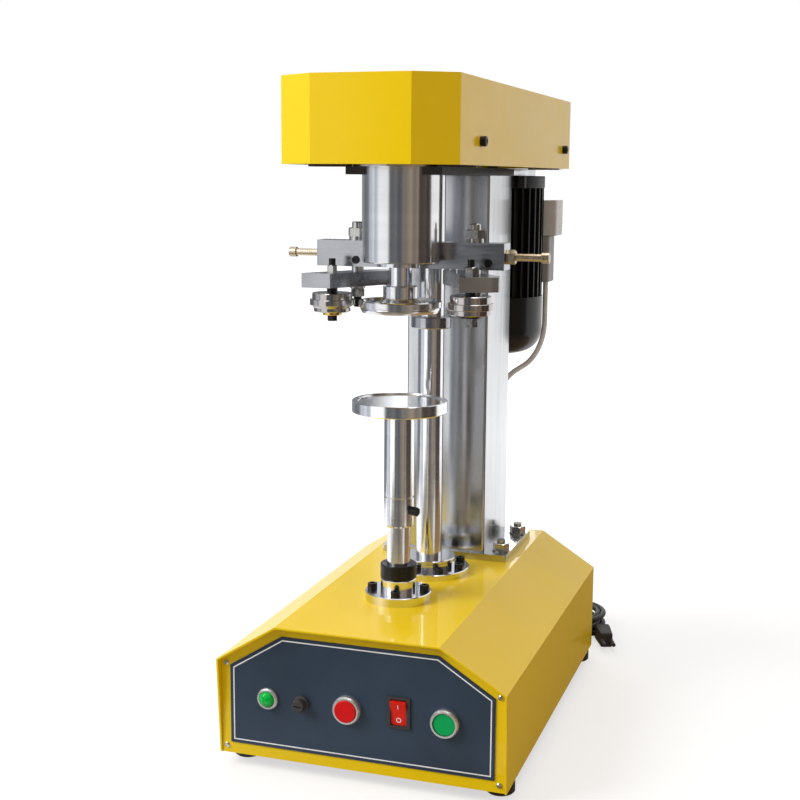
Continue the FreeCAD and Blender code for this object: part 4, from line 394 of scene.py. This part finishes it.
def finish(name):
    """The named finish, made the first time that a piece asks for it."""
    have = bpy.data.materials.get(name)
    if have:
        return have
    c = colours()
    makers = {
        "yellow_gloss": lambda: gloss_paint(name, c.paint),
        "plate_print": lambda: printed_plate(name, c.plate),
        "white_print": lambda: moulded(name, (0.86, 0.87, 0.88), 0.42, 0.000004),
        "spindle_chrome": lambda: lathe_steel(name, c.chrome, SPINDLE, 0.12, 0.2, 0.000002),
        "spindle_steel": lambda: lathe_steel(name, c.steel, SPINDLE),
        "cam_steel": lambda: lathe_steel(name, c.steel, CAM),
        "left_roller_steel": lambda: lathe_steel(name, c.roller, ROLLERS["left"]),
        "right_roller_steel": lambda: lathe_steel(name, c.roller, ROLLERS["right"]),
        "ring_chrome": lambda: moulded(name, c.chrome, 0.14, 0.000003, Metallic=1.0),
        "bezel_satin": lambda: moulded(name, (0.66, 0.67, 0.7), 0.3, 0.000003, Metallic=0.85),
        "column_plate": lambda: plated_column(name, (0.57, 0.58, 0.6)),
        "beam_steel": lambda: milled_steel(name, c.dark),
        "plate_steel": lambda: moulded(name, (0.06, 0.056, 0.056), 0.5, Specular_IOR_Level=0.08),
        "dark_inside": lambda: milled_steel(name, (0.09, 0.095, 0.105)),
        "oxide_black": lambda: black_oxide(name),
        "nut_zinc": lambda: moulded(name, (0.52, 0.52, 0.5), 0.22, 0.00001, Metallic=1.0),
        "screw_zinc": lambda: moulded(name, (0.5, 0.42, 0.31), 0.28, 0.000002, Metallic=1.0),
        "brass": lambda: lathe_steel(name, (0.78, 0.5, 0.16), ROLLERS["left"], 0.16, 0.3),
        "motor_black": lambda: cast_iron(name, (0.008, 0.0085, 0.009), 0.4, 0.00005),
        "motor_grey": lambda: cast_iron(name, (0.016, 0.0165, 0.018), 0.4, 0.00004),
        "cowl_paint": lambda: gloss_paint(name, c.cowl),
        "box_white": lambda: moulded(name, (0.66, 0.68, 0.68), 0.3, 0.00001, Subsurface_Weight=0.2),
        "box_grey": lambda: moulded(name, (0.32, 0.33, 0.335), 0.4),
        "cable_grey": lambda: moulded(name, (0.64, 0.64, 0.63), 0.42),
        "black_plastic": lambda: moulded(
            name, (0.007, 0.007, 0.008), 0.22, Specular_IOR_Level=0.45),
        "rubber_black": lambda: rubber(name),
        "red_cap": lambda: moulded(name, c.red, 0.34, Specular_IOR_Level=0.15),
        "rocker_red": lambda: moulded(
            name, (0.85, 0.022, 0.012), 0.26, Specular_IOR_Level=0.12, Subsurface_Weight=0.1),
        "green_cap": lambda: moulded(name, c.green, 0.34, Specular_IOR_Level=0.15),
        "lamp_green": lambda: signal_lens(name, c.lens),
    }
    return makers[name]()


def deselect():
    for item in bpy.context.view_layer.objects:
        item.select_set(False)


def choose(piece):
    deselect()
    piece.select_set(True)
    bpy.context.view_layer.objects.active = piece


@contextmanager
def editing(piece):
    """Edit mode with all faces of the piece selected."""
    choose(piece)
    bpy.ops.object.mode_set(mode="EDIT")
    bpy.ops.mesh.select_mode(type="FACE")
    bpy.ops.mesh.select_all(action="SELECT")
    yield
    bpy.ops.object.mode_set(mode="OBJECT")


def face_out():
    """Turns all faces of the piece in edit mode outward."""
    bpy.ops.mesh.select_all(action="SELECT")
    bpy.ops.mesh.normals_make_consistent(inside=False)


def raise_faces(by):
    """Gives the selected faces of the piece in edit mode a thickness."""
    bpy.ops.mesh.extrude_region_move(TRANSFORM_OT_translate={"value": by})


def applied(piece, kind, **settings):
    choose(piece)
    modifier = piece.modifiers.new(kind.title(), kind)
    for key, value in settings.items():
        setattr(modifier, key, value)
    bpy.ops.object.modifier_apply(modifier=modifier.name)


def smooth(piece, angle=SMOOTH_ANGLE):
    choose(piece)
    bpy.ops.object.shade_smooth_by_angle(angle=math.radians(angle))


def settled(piece):
    """Puts a piece's place into its mesh."""
    choose(piece)
    bpy.ops.object.transform_apply(location=True, rotation=True, scale=True)


def clad(piece, look):
    piece.data.materials.clear()
    piece.data.materials.append(finish(look))


def stand_for(piece, node, look):
    clad(piece, look)
    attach(piece, BODY[node])
    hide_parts(node)


def dress(node, look, edge=0.0, segments=2):
    """A merged copy of a node, with its edges broken and its round faces smooth."""
    piece = bpy.data.objects.new(node + "_finished", frame["nodes"][node].data.copy())
    bpy.context.collection.objects.link(piece)
    choose(piece)
    if piece.data.has_custom_normals:
        bpy.ops.mesh.customdata_custom_splitnormals_clear()
    with editing(piece):
        bpy.ops.mesh.remove_doubles(threshold=MERGE_REACH)
        if edge:
            bpy.ops.mesh.dissolve_limited(angle_limit=math.radians(FLAT_ANGLE))
    if edge:
        applied(piece, "BEVEL", width=edge, segments=segments, limit_method="ANGLE",
                angle_limit=math.radians(SMOOTH_ANGLE), use_clamp_overlap=True)
        choose(piece)
        bpy.ops.object.shade_smooth()
        applied(piece, "WEIGHTED_NORMAL", weight=100, keep_sharp=True)
    else:
        smooth(piece)
    stand_for(piece, node, look)
    return piece


def touch_up(piece, look, test):
    """Gives the faces whose middle passes the test a second finish."""
    piece.data.materials.append(finish(look))
    for face in piece.data.polygons:
        if test(face.center):
            face.material_index = len(piece.data.materials) - 1


def beside(place, radius, *axes):
    """True if the place is that near to one of the vertical axes."""
    return any(math.hypot(place.x - x, place.y - y) < radius for x, y in axes)


def added(piece, name, look, body):
    """Takes in a new piece that stands for no node."""
    piece.name = name
    clad(piece, look)
    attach(piece, body)


def step_out(piece, along, by, grow):
    """Extrudes the chosen end face and scales it about its own middle."""
    raise_faces(tuple(part * by for part in along))
    shape = bmesh.from_edit_mesh(piece.data)
    ends = [face for face in shape.faces if face.select]
    middle = sum((face.calc_center_median() for face in ends), Vector()) / len(ends)
    keep = [1.0 if part else grow for part in along]
    bpy.ops.transform.resize(value=keep, center_override=middle)


def stepped_disc(place, turn, radius, vertices, along, steps, angle=SMOOTH_ANGLE):
    """A disc drawn out along its axis, step by step."""
    bpy.ops.mesh.primitive_circle_add(
        vertices=vertices, radius=radius, fill_type="NGON", location=place, rotation=turn)
    piece = bpy.context.object
    settled(piece)
    with editing(piece):
        for by, grow in steps:
            step_out(piece, along, by, grow)
        face_out()
    smooth(piece, angle)
    return piece


class SEALER_OT_camera(Operator):
    """Sets the camera at the photograph's angle"""
    bl_idname = "sealer.camera"
    bl_label = "Camera"

    def execute(self, context):
        data = bpy.data.cameras.new("photo_camera")
        data.lens = CAMERA_LENS
        data.sensor_width = CAMERA_SENSOR
        data.clip_start = 0.05
        camera = bpy.data.objects.new("photo_camera", data)
        context.collection.objects.link(camera)
        yaw = Matrix.Rotation(math.radians(CAMERA_YAW), 4, "Z")
        tilt = Matrix.Rotation(math.radians(90 - CAMERA_DROP), 4, "X")
        roll = Matrix.Rotation(math.radians(CAMERA_ROLL), 4, "Z")
        camera.matrix_world = Matrix.Translation(CAMERA_PLACE) @ yaw @ tilt @ roll
        context.scene.camera = camera
        return {"FINISHED"}


class SEALER_OT_power_cord(Operator):
    """Lays the power cord and its coil, with the plug and the gland's boot"""
    bl_idname = "sealer.power_cord"
    bl_label = "Power cord"

    def execute(self, context):
        s = sizes()
        points = [*CORD_START, *self.coil(s), *CORD_END]
        line = bpy.data.curves.new("power_cord", "CURVE")
        line.dimensions = "3D"
        spline = line.splines.new("NURBS")
        spline.points.add(len(points) - 1)
        for point, place in zip(spline.points, points):
            point.co = (*place, 1)
        spline.order_u = 3
        spline.use_endpoint_u = True
        spline.resolution_u = 5
        line.bevel_depth = s.cord_thick / 2
        line.bevel_resolution = 5
        line.use_fill_caps = True
        cord = bpy.data.objects.new("power_cord_laid", line)
        context.collection.objects.link(cord)
        cord.data.materials.append(finish("rubber_black"))
        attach(cord, "root")
        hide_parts("power_cord", "cord_coil")
        plug = dress("plug", "black_plastic", edge=s.plug_edge)
        dress("cord_gland", "black_plastic", edge=s.small_edge)
        boot = stepped_disc(points[0], (-math.pi / 2, 0, 0), BOOT_RADIUS, vertices=32,
                            along=(0, 1, 0), steps=BOOT_STEPS, angle=35)
        added(boot, "cord_boot", "rubber_black", "root")
        return {"FINISHED"}

    def coil(self, s):
        """Turns of two columns and four rows: down the inner column and up the outer one."""
        columns = (s.coil_inner, s.coil_outer)
        x, y = COIL_MIDDLE
        outward = 1 / math.cos(math.pi / s.coil_steps)
        places = []
        for index in range(int(COIL_STOPS[-1][0] / 360 * s.coil_steps) + 1):
            swept = index * 360 / s.coil_steps
            radius, row = self.coil_turn(swept, columns)
            far = radius * outward
            turn = math.radians(COIL_BEARING - swept)
            height = s.cord_thick / 2 + s.cord_thick * row
            places.append((x + far * math.cos(turn), y + far * math.sin(turn), height))
        return places

    def coil_turn(self, swept, columns):
        """The coil's radius and row after that many degrees, eased between its stops."""
        for (start, column, row), (end, next_column, next_row) in zip(COIL_STOPS, COIL_STOPS[1:]):
            if start <= swept <= end:
                break
        part = (swept - start) / (end - start)
        ease = part * part * (3 - 2 * part)
        radius = columns[column] + (columns[next_column] - columns[column]) * ease
        return radius, row + (next_row - row) * ease


class SEALER_OT_base(Operator):
    """Finishes the base's sheet metal, tray, inner frame and feet"""
    bl_idname = "sealer.base"
    bl_label = "Base"

    def execute(self, context):
        edge = sizes().sheet_edge
        for node in ("base_cover", "front_panel", "rear_panel"):
            dress(node, "yellow_gloss", edge=edge)
        dress("base_tray", "dark_inside", edge=edge)
        dress("inner_frame", "dark_inside")
        dress("rubber_feet", "rubber_black")
        dress("panel_screws", "nut_zinc")
        return {"FINISHED"}


class SEALER_OT_control_plate(Operator):
    """Finishes the control plate and prints the white line inside its edge"""
    bl_idname = "sealer.control_plate"
    bl_label = "Control plate"

    def execute(self, context):
        dress("control_plate", "plate_print", edge=sizes().small_edge)
        low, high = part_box("control_plate")
        top_x, side_z = self.slanted_corner(low, high)
        middle = (low + high) / 2
        bpy.ops.mesh.primitive_plane_add(size=1, location=(middle.x, low.y + PRINT_SINK, middle.z),
                                         rotation=(math.pi / 2, 0, 0))
        piece = bpy.context.object
        piece.scale = (high.x - low.x, high.z - low.z, 1)
        settled(piece)
        slope = Vector((high.z - side_z, 0, high.x - top_x))
        for side in (-1, 1):
            with editing(piece):
                bpy.ops.mesh.bisect(plane_co=(side * top_x, low.y, high.z),
                                    plane_no=(side * slope.x, 0, slope.z), clear_outer=True)
        with editing(piece):
            self.leave_line()
        added(piece, "plate_line", "white_print", "root")
        return {"FINISHED"}

    def slanted_corner(self, low, high, near=0.0005, flat=0.0001):
        """How far the plate's top edge reaches to the side, and how far its side reaches up."""
        shape = frame["nodes"]["control_plate"].data
        front = [vertex.co for vertex in shape.vertices if vertex.co.y < low.y + flat]
        top_x = max(place.x for place in front if place.z > high.z - near)
        side_z = max(place.z for place in front if place.x > high.x - near)
        return top_x, side_z

    def leave_line(self):
        """Takes the plane in edit mode down to a raised line inside its edge."""
        bpy.ops.mesh.inset(thickness=sizes().line_inset)
        bpy.ops.mesh.select_all(action="INVERT")
        bpy.ops.mesh.delete(type="FACE")
        bpy.ops.mesh.select_all(action="SELECT")
        bpy.ops.mesh.inset(thickness=sizes().line_width)
        bpy.ops.mesh.delete(type="FACE")
        bpy.ops.mesh.select_all(action="SELECT")
        raise_faces((0, -LINE_THICK, 0))
        face_out()


class SEALER_OT_controls(Operator):
    """Finishes the lamp, the fuse holder and the push buttons"""
    bl_idname = "sealer.controls"
    bl_label = "Lamp and buttons"

    def execute(self, context):
        dress("control_bezels", "bezel_satin")
        dress("lamp_lens", "lamp_green")
        dress("fuse_holder", "black_plastic")
        dress("red_button_cap", "red_cap")
        dress("green_button_cap", "green_cap")
        return {"FINISHED"}


class SEALER_OT_switch(Operator):
    """Finishes the rocker switch and prints its on and off marks"""
    bl_idname = "sealer.switch"
    bl_label = "Rocker switch"

    def execute(self, context):
        s = sizes()
        dress("switch_frame", "black_plastic", edge=s.turned_edge)
        rocker = dress("switch_rocker", "rocker_red", edge=s.small_edge)
        low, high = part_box("switch_rocker")
        middle = (low + high) / 2
        marks = (("on_mark", MARK_RISE, self.bar), ("off_mark", -MARK_RISE, self.ring))
        for name, up, mark in marks:
            start = Vector((middle.x, low.y - MARK_RAY, middle.z + up))
            hit, place, normal, _ = rocker.ray_cast(start, Vector((0, 1, 0)))
            if not hit:
                raise RuntimeError("the rocker's face isn't where its mark goes")
            piece = mark()
            turn = normal.to_track_quat("Z", "Y").to_matrix().to_4x4()
            piece.matrix_world = Matrix.Translation(place) @ turn
            settled(piece)
            added(piece, name, "white_print", "rocker")
        return {"FINISHED"}

    def bar(self):
        bpy.ops.mesh.primitive_plane_add(size=1)
        piece = bpy.context.object
        with editing(piece):
            bpy.ops.transform.resize(value=(BAR_WIDTH, BAR_LENGTH, 1))
            raise_faces((0, 0, MARK_THICK))
        return piece

    def ring(self):
        bpy.ops.mesh.primitive_circle_add(vertices=40, radius=RING_RADIUS, fill_type="NGON")
        piece = bpy.context.object
        with editing(piece):
            bpy.ops.mesh.inset(thickness=RING_WIDTH)
            bpy.ops.mesh.delete(type="FACE")
            bpy.ops.mesh.select_all(action="SELECT")
            raise_faces((0, 0, MARK_THICK))
        return piece


class SEALER_OT_lifter(Operator):
    """Finishes the lifter: bush housing, shaft, stop collar, sleeve and seat"""
    bl_idname = "sealer.lifter"
    bl_label = "Lifter and seat"

    def execute(self, context):
        for node in ("lifter_bush_housing", "lifter_shaft", "seat_plate"):
            dress(node, "spindle_steel")
        sleeve = dress("seat_sleeve", "spindle_steel")
        low, high = (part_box("seat_sleeve")[0].z + rise for rise in CLAMP_SCREW)
        touch_up(sleeve, "oxide_black",
                 lambda place: low < place.z < high and not beside(place, SLEEVE_RADIUS, SPINDLE))
        dress("lifter_stop_collar", "oxide_black", edge=sizes().small_edge)
        dress("lifting_lever", "dark_inside")
        return {"FINISHED"}


class SEALER_OT_cam_drive(Operator):
    """Finishes the cam shaft with its housing, cams and gear"""
    bl_idname = "sealer.cam_drive"
    bl_label = "Cam shaft"

    def execute(self, context):
        for node in ("cam_bearing_housing", "cam_shaft", "cam_gear"):
            dress(node, "cam_steel")
        for node in ("cam_collar", "seaming_cams", "lifting_cam"):
            dress(node, "beam_steel", edge=sizes().turned_edge)
        return {"FINISHED"}


class SEALER_OT_column(Operator):
    """Finishes the column, its studs and the head plate"""
    bl_idname = "sealer.column"
    bl_label = "Column"

    def execute(self, context):
        edge = sizes().block_edge
        dress("column", "column_plate", edge=edge)
        self.rear_bar(dress("head_plate", "plate_steel", edge=edge))
        studs = dress("stud_bolts", "nut_zinc")
        touch_up(studs, "oxide_black", lambda place: beside(place, STUD_RADIUS, *STUDS))
        dress("socket_screws", "oxide_black")
        return {"FINISHED"}

    def rear_bar(self, plate):
        """The rear end of the head plate is left bright, behind the column."""
        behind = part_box("column")[1].y - REAR_BAR
        with editing(plate):
            bpy.ops.mesh.bisect(plane_co=(0, behind, 0), plane_no=(0, 1, 0))
        touch_up(plate, "column_plate", lambda place: place.y > behind)


class SEALER_OT_spindle(Operator):
    """Finishes the spindle, its housing and the seaming chuck"""
    bl_idname = "sealer.spindle"
    bl_label = "Spindle"

    def execute(self, context):
        for node in ("spindle_housing", "seaming_chuck"):
            dress(node, "spindle_chrome")
        for node in ("spindle_shaft", "spindle_pulley"):
            dress(node, "spindle_steel")
        dress("shaft_bearings", "ring_chrome")
        return {"FINISHED"}


class SEALER_OT_seaming_arms(Operator):
    """Finishes the beam, the arms, their followers and their rollers"""
    bl_idname = "sealer.seaming_arms"
    bl_label = "Seaming arms"

    def execute(self, context):
        s = sizes()
        for node in ("cross_beam", "left_arm", "right_arm"):
            dress(node, "beam_steel", edge=s.block_edge)
        dress("adjusting_screws", "screw_zinc", edge=s.fine_edge)
        for side, middle in ROLLERS.items():
            dress(side + "_roller", side + "_roller_steel")
            dress(side + "_follower", "ring_chrome")
            bolt = dress(side + "_roller_bolt", "oxide_black", edge=s.fine_edge)
            arm_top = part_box(side + "_arm")[1].z
            touch_up(bolt, "nut_zinc",
                     lambda place: place.z > arm_top and not beside(place, BOLT_RADIUS, middle))
            if side == "right":
                head_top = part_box("right_roller_bolt")[0].z + BOLT_HEAD
                touch_up(bolt, "nut_zinc",
                         lambda place: place.z < head_top and not beside(place, BOLT_SOCKET, middle))
        x, y = ROLLERS["left"]
        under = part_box("left_roller")[0].z - WASHER_DROP
        washer = stepped_disc((x, y, under), (0, 0, 0), WASHER_RADIUS, vertices=48,
                              along=(0, 0, 1), steps=WASHER_STEPS)
        added(washer, "roller_washer", "brass", "left_arm_body")
        return {"FINISHED"}


class SEALER_OT_top_cover(Operator):
    """Finishes the yellow top cover"""
    bl_idname = "sealer.top_cover"
    bl_label = "Top cover"

    def execute(self, context):
        dress("top_cover", "yellow_gloss", edge=sizes().sheet_edge)
        return {"FINISHED"}


class SEALER_OT_motor(Operator):
    """Finishes the motor, its pulley and the belt"""
    bl_idname = "sealer.motor"
    bl_label = "Motor and belt"

    def execute(self, context):
        dress("motor_end_cap", "motor_grey", edge=sizes().cast_edge)
        dress("motor_body", "motor_black")
        dress("fan_cowl", "cowl_paint")
        dress("motor_rotor", "dark_inside")
        dress("motor_pulley", "dark_inside")
        dress("drive_belt", "rubber_black")
        return {"FINISHED"}


class SEALER_OT_terminal_boxes(Operator):
    """Finishes the motor's terminal box and capacitor box, with their cable"""
    bl_idname = "sealer.terminal_boxes"
    bl_label = "Terminal boxes"

    def execute(self, context):
        edge = sizes().box_edge
        dress("terminal_box", "box_white", edge=edge, segments=3)
        dress("capacitor_box", "box_grey", edge=edge, segments=3)
        dress("motor_cable", "cable_grey")
        return {"FINISHED"}


class SEALER_OT_stage(Operator):
    """Sets up the floor, the backdrop light and the lamps"""
    bl_idname = "sealer.stage"
    bl_label = "Stage"

    def execute(self, context):
        self.floor()
        self.world(context.scene)
        for settings in LAMPS:
            self.lamp(*settings)
        for settings in FLAGS:
            self.flag(*settings)
        # The floor cards, the side one a painted shadow of the floor beside the base
        for name, place, size, shade in FLOOR_CARDS:
            self.card(name, place, (0, 0, 0), size, shade)
        return {"FINISHED"}

    def seen(self, tree):
        """1 for the camera and for what metal and glass show, else 0."""
        path = add_node(tree, "LightPath").outputs
        total = path["Is Camera Ray"]
        for other in ("Is Glossy Ray", "Is Transmission Ray"):
            links = {0: total, 1: path[other]}
            total = add_node(tree, "Math", links=links, operation="MAXIMUM").outputs[0]
        return total

    def world(self, scene):
        """A white backdrop where it is seen, and a softer light for the rest."""
        world = bpy.data.worlds.new("studio")
        world.use_nodes = True
        tree = world.node_tree
        room = tree.nodes["Background"]
        room.inputs["Color"].default_value = (*WHITE, 1)
        room.inputs["Strength"].default_value = ROOM_LIGHT
        backdrop = add_node(tree, "Background", {"Color": (*WHITE, 1), "Strength": 1.0})
        links = {0: self.seen(tree), 1: room.outputs[0], 2: backdrop.outputs[0]}
        mix = add_node(tree, "MixShader", links=links)
        tree.links.new(mix.outputs[0], tree.nodes["World Output"].inputs["Surface"])
        scene.world = world

    def bare_tree(self, piece, name):
        """The tree of a new material of the piece, with nothing but its output."""
        material = bpy.data.materials.new(name)
        material.use_nodes = True
        tree = material.node_tree
        tree.nodes.remove(tree.nodes["Principled BSDF"])
        piece.data.materials.append(material)
        return tree

    def floor(self):
        """A floor that takes shadows and is as white as the backdrop away from the machine."""
        bpy.ops.mesh.primitive_plane_add(size=FLOOR_SIZE, location=(0, 0, 0))
        floor = bpy.context.object
        floor.name = "floor"
        tree = self.bare_tree(floor, "pale_floor")
        matt = add_node(tree, "BsdfDiffuse", {"Color": (*FLOOR_SHADE, 1)})
        place = add_node(tree, "TexCoord").outputs["Object"]
        distance = add_node(tree, "VectorMath", links={0: place}, operation="LENGTH")
        fade = add_node(tree, "MapRange", FLOOR_FADE, {"Value": distance.outputs["Value"]})
        links = {0: self.seen(tree), 1: fade.outputs[0]}
        strength = add_node(tree, "Math", links=links, operation="MULTIPLY")
        glow = add_node(tree, "Emission", links={"Strength": strength.outputs[0]})
        both = add_node(tree, "AddShader", links={0: matt.outputs[0], 1: glow.outputs[0]})
        tree.links.new(both.outputs[0], tree.nodes["Material Output"].inputs["Surface"])

    def flag(self, name, bearing, spread, shade):
        """An upright card round the machine, as a studio's flags stand."""
        turn = math.radians(bearing)
        place = (FLAG_DISTANCE * math.cos(turn), FLAG_DISTANCE * math.sin(turn), FLAG_MIDDLE)
        width = 2 * FLAG_DISTANCE * math.tan(math.radians(spread / 2))
        upright = (math.pi / 2, 0, math.radians(bearing + 90))
        self.card(name, place, upright, (width, FLAG_HEIGHT), shade)

    def card(self, name, place, turn, size, shade):
        """A card with soft sides that only metal and gloss show."""
        bpy.ops.mesh.primitive_plane_add(size=1, location=place, rotation=turn)
        card = bpy.context.object
        card.name = name
        card.scale = (*size, 1)
        tree = self.bare_tree(card, name)
        sheet = add_node(tree, "TexCoord").outputs["UV"]
        across = add_node(tree, "SeparateXYZ", links={0: sheet}).outputs["X"]
        sides = ((0.0, BLACK), (CARD_EDGE, WHITE), (1 - CARD_EDGE, WHITE), (1.0, BLACK))
        folds = [(at, [part * light for part in shade]) for at, light in CARD_FOLDS]
        glow = add_node(tree, "Emission", links={"Color": ramp(tree, across, folds)})
        clear = add_node(tree, "BsdfTransparent")
        links = {0: ramp(tree, across, sides), 1: clear.outputs[0], 2: glow.outputs[0]}
        mix = add_node(tree, "MixShader", links=links)
        tree.links.new(mix.outputs[0], tree.nodes["Material Output"].inputs["Surface"])
        card.visible_camera = False
        card.visible_diffuse = False
        card.visible_shadow = False

    def lamp(self, name, place, size, power, tint):
        data = bpy.data.lights.new(name, "AREA")
        data.size = size
        data.color = tint
        data.energy = power
        lamp = bpy.data.objects.new(name, data)
        lamp.location = place
        aim = Vector(LAMP_AIM) - Vector(place)
        lamp.rotation_euler = aim.to_track_quat("-Z", "Y").to_euler()
        bpy.context.collection.objects.link(lamp)


class SEALER_PT_panel(Panel):
    bl_idname = "SEALER_PT_panel"
    bl_label = "Can sealing machine"
    bl_space_type = "VIEW_3D"
    bl_region_type = "UI"
    bl_category = "Sealer"

    def draw(self, context):
        for group in (context.scene.sealer_colours, context.scene.sealer_sizes):
            box = self.layout.box()
            for name in group.__annotations__:
                box.prop(group, name)
        for step in STEPS:
            self.layout.operator(step.bl_idname)


STEPS = (
    SEALER_OT_camera, SEALER_OT_power_cord, SEALER_OT_base, SEALER_OT_control_plate,
    SEALER_OT_controls, SEALER_OT_switch, SEALER_OT_lifter, SEALER_OT_cam_drive,
    SEALER_OT_column, SEALER_OT_spindle, SEALER_OT_seaming_arms, SEALER_OT_top_cover,
    SEALER_OT_motor, SEALER_OT_terminal_boxes, SEALER_OT_stage,
)
CLASSES = (SealerColours, SealerSizes, *STEPS, SEALER_PT_panel)


def register():
    for item in CLASSES:
        bpy.utils.register_class(item)
    bpy.types.Scene.sealer_colours = PointerProperty(type=SealerColours)
    bpy.types.Scene.sealer_sizes = PointerProperty(type=SealerSizes)


def unregister():
    del bpy.types.Scene.sealer_sizes
    del bpy.types.Scene.sealer_colours
    for item in reversed(CLASSES):
        bpy.utils.unregister_class(item)


def main():
    register()
    view = bpy.context.scene.view_settings
    view.view_transform = "Standard"
    for step in STEPS:
        group, name = step.bl_idname.split(".")
        getattr(getattr(bpy.ops, group), name)()


if __name__ == "__main__":
    main()
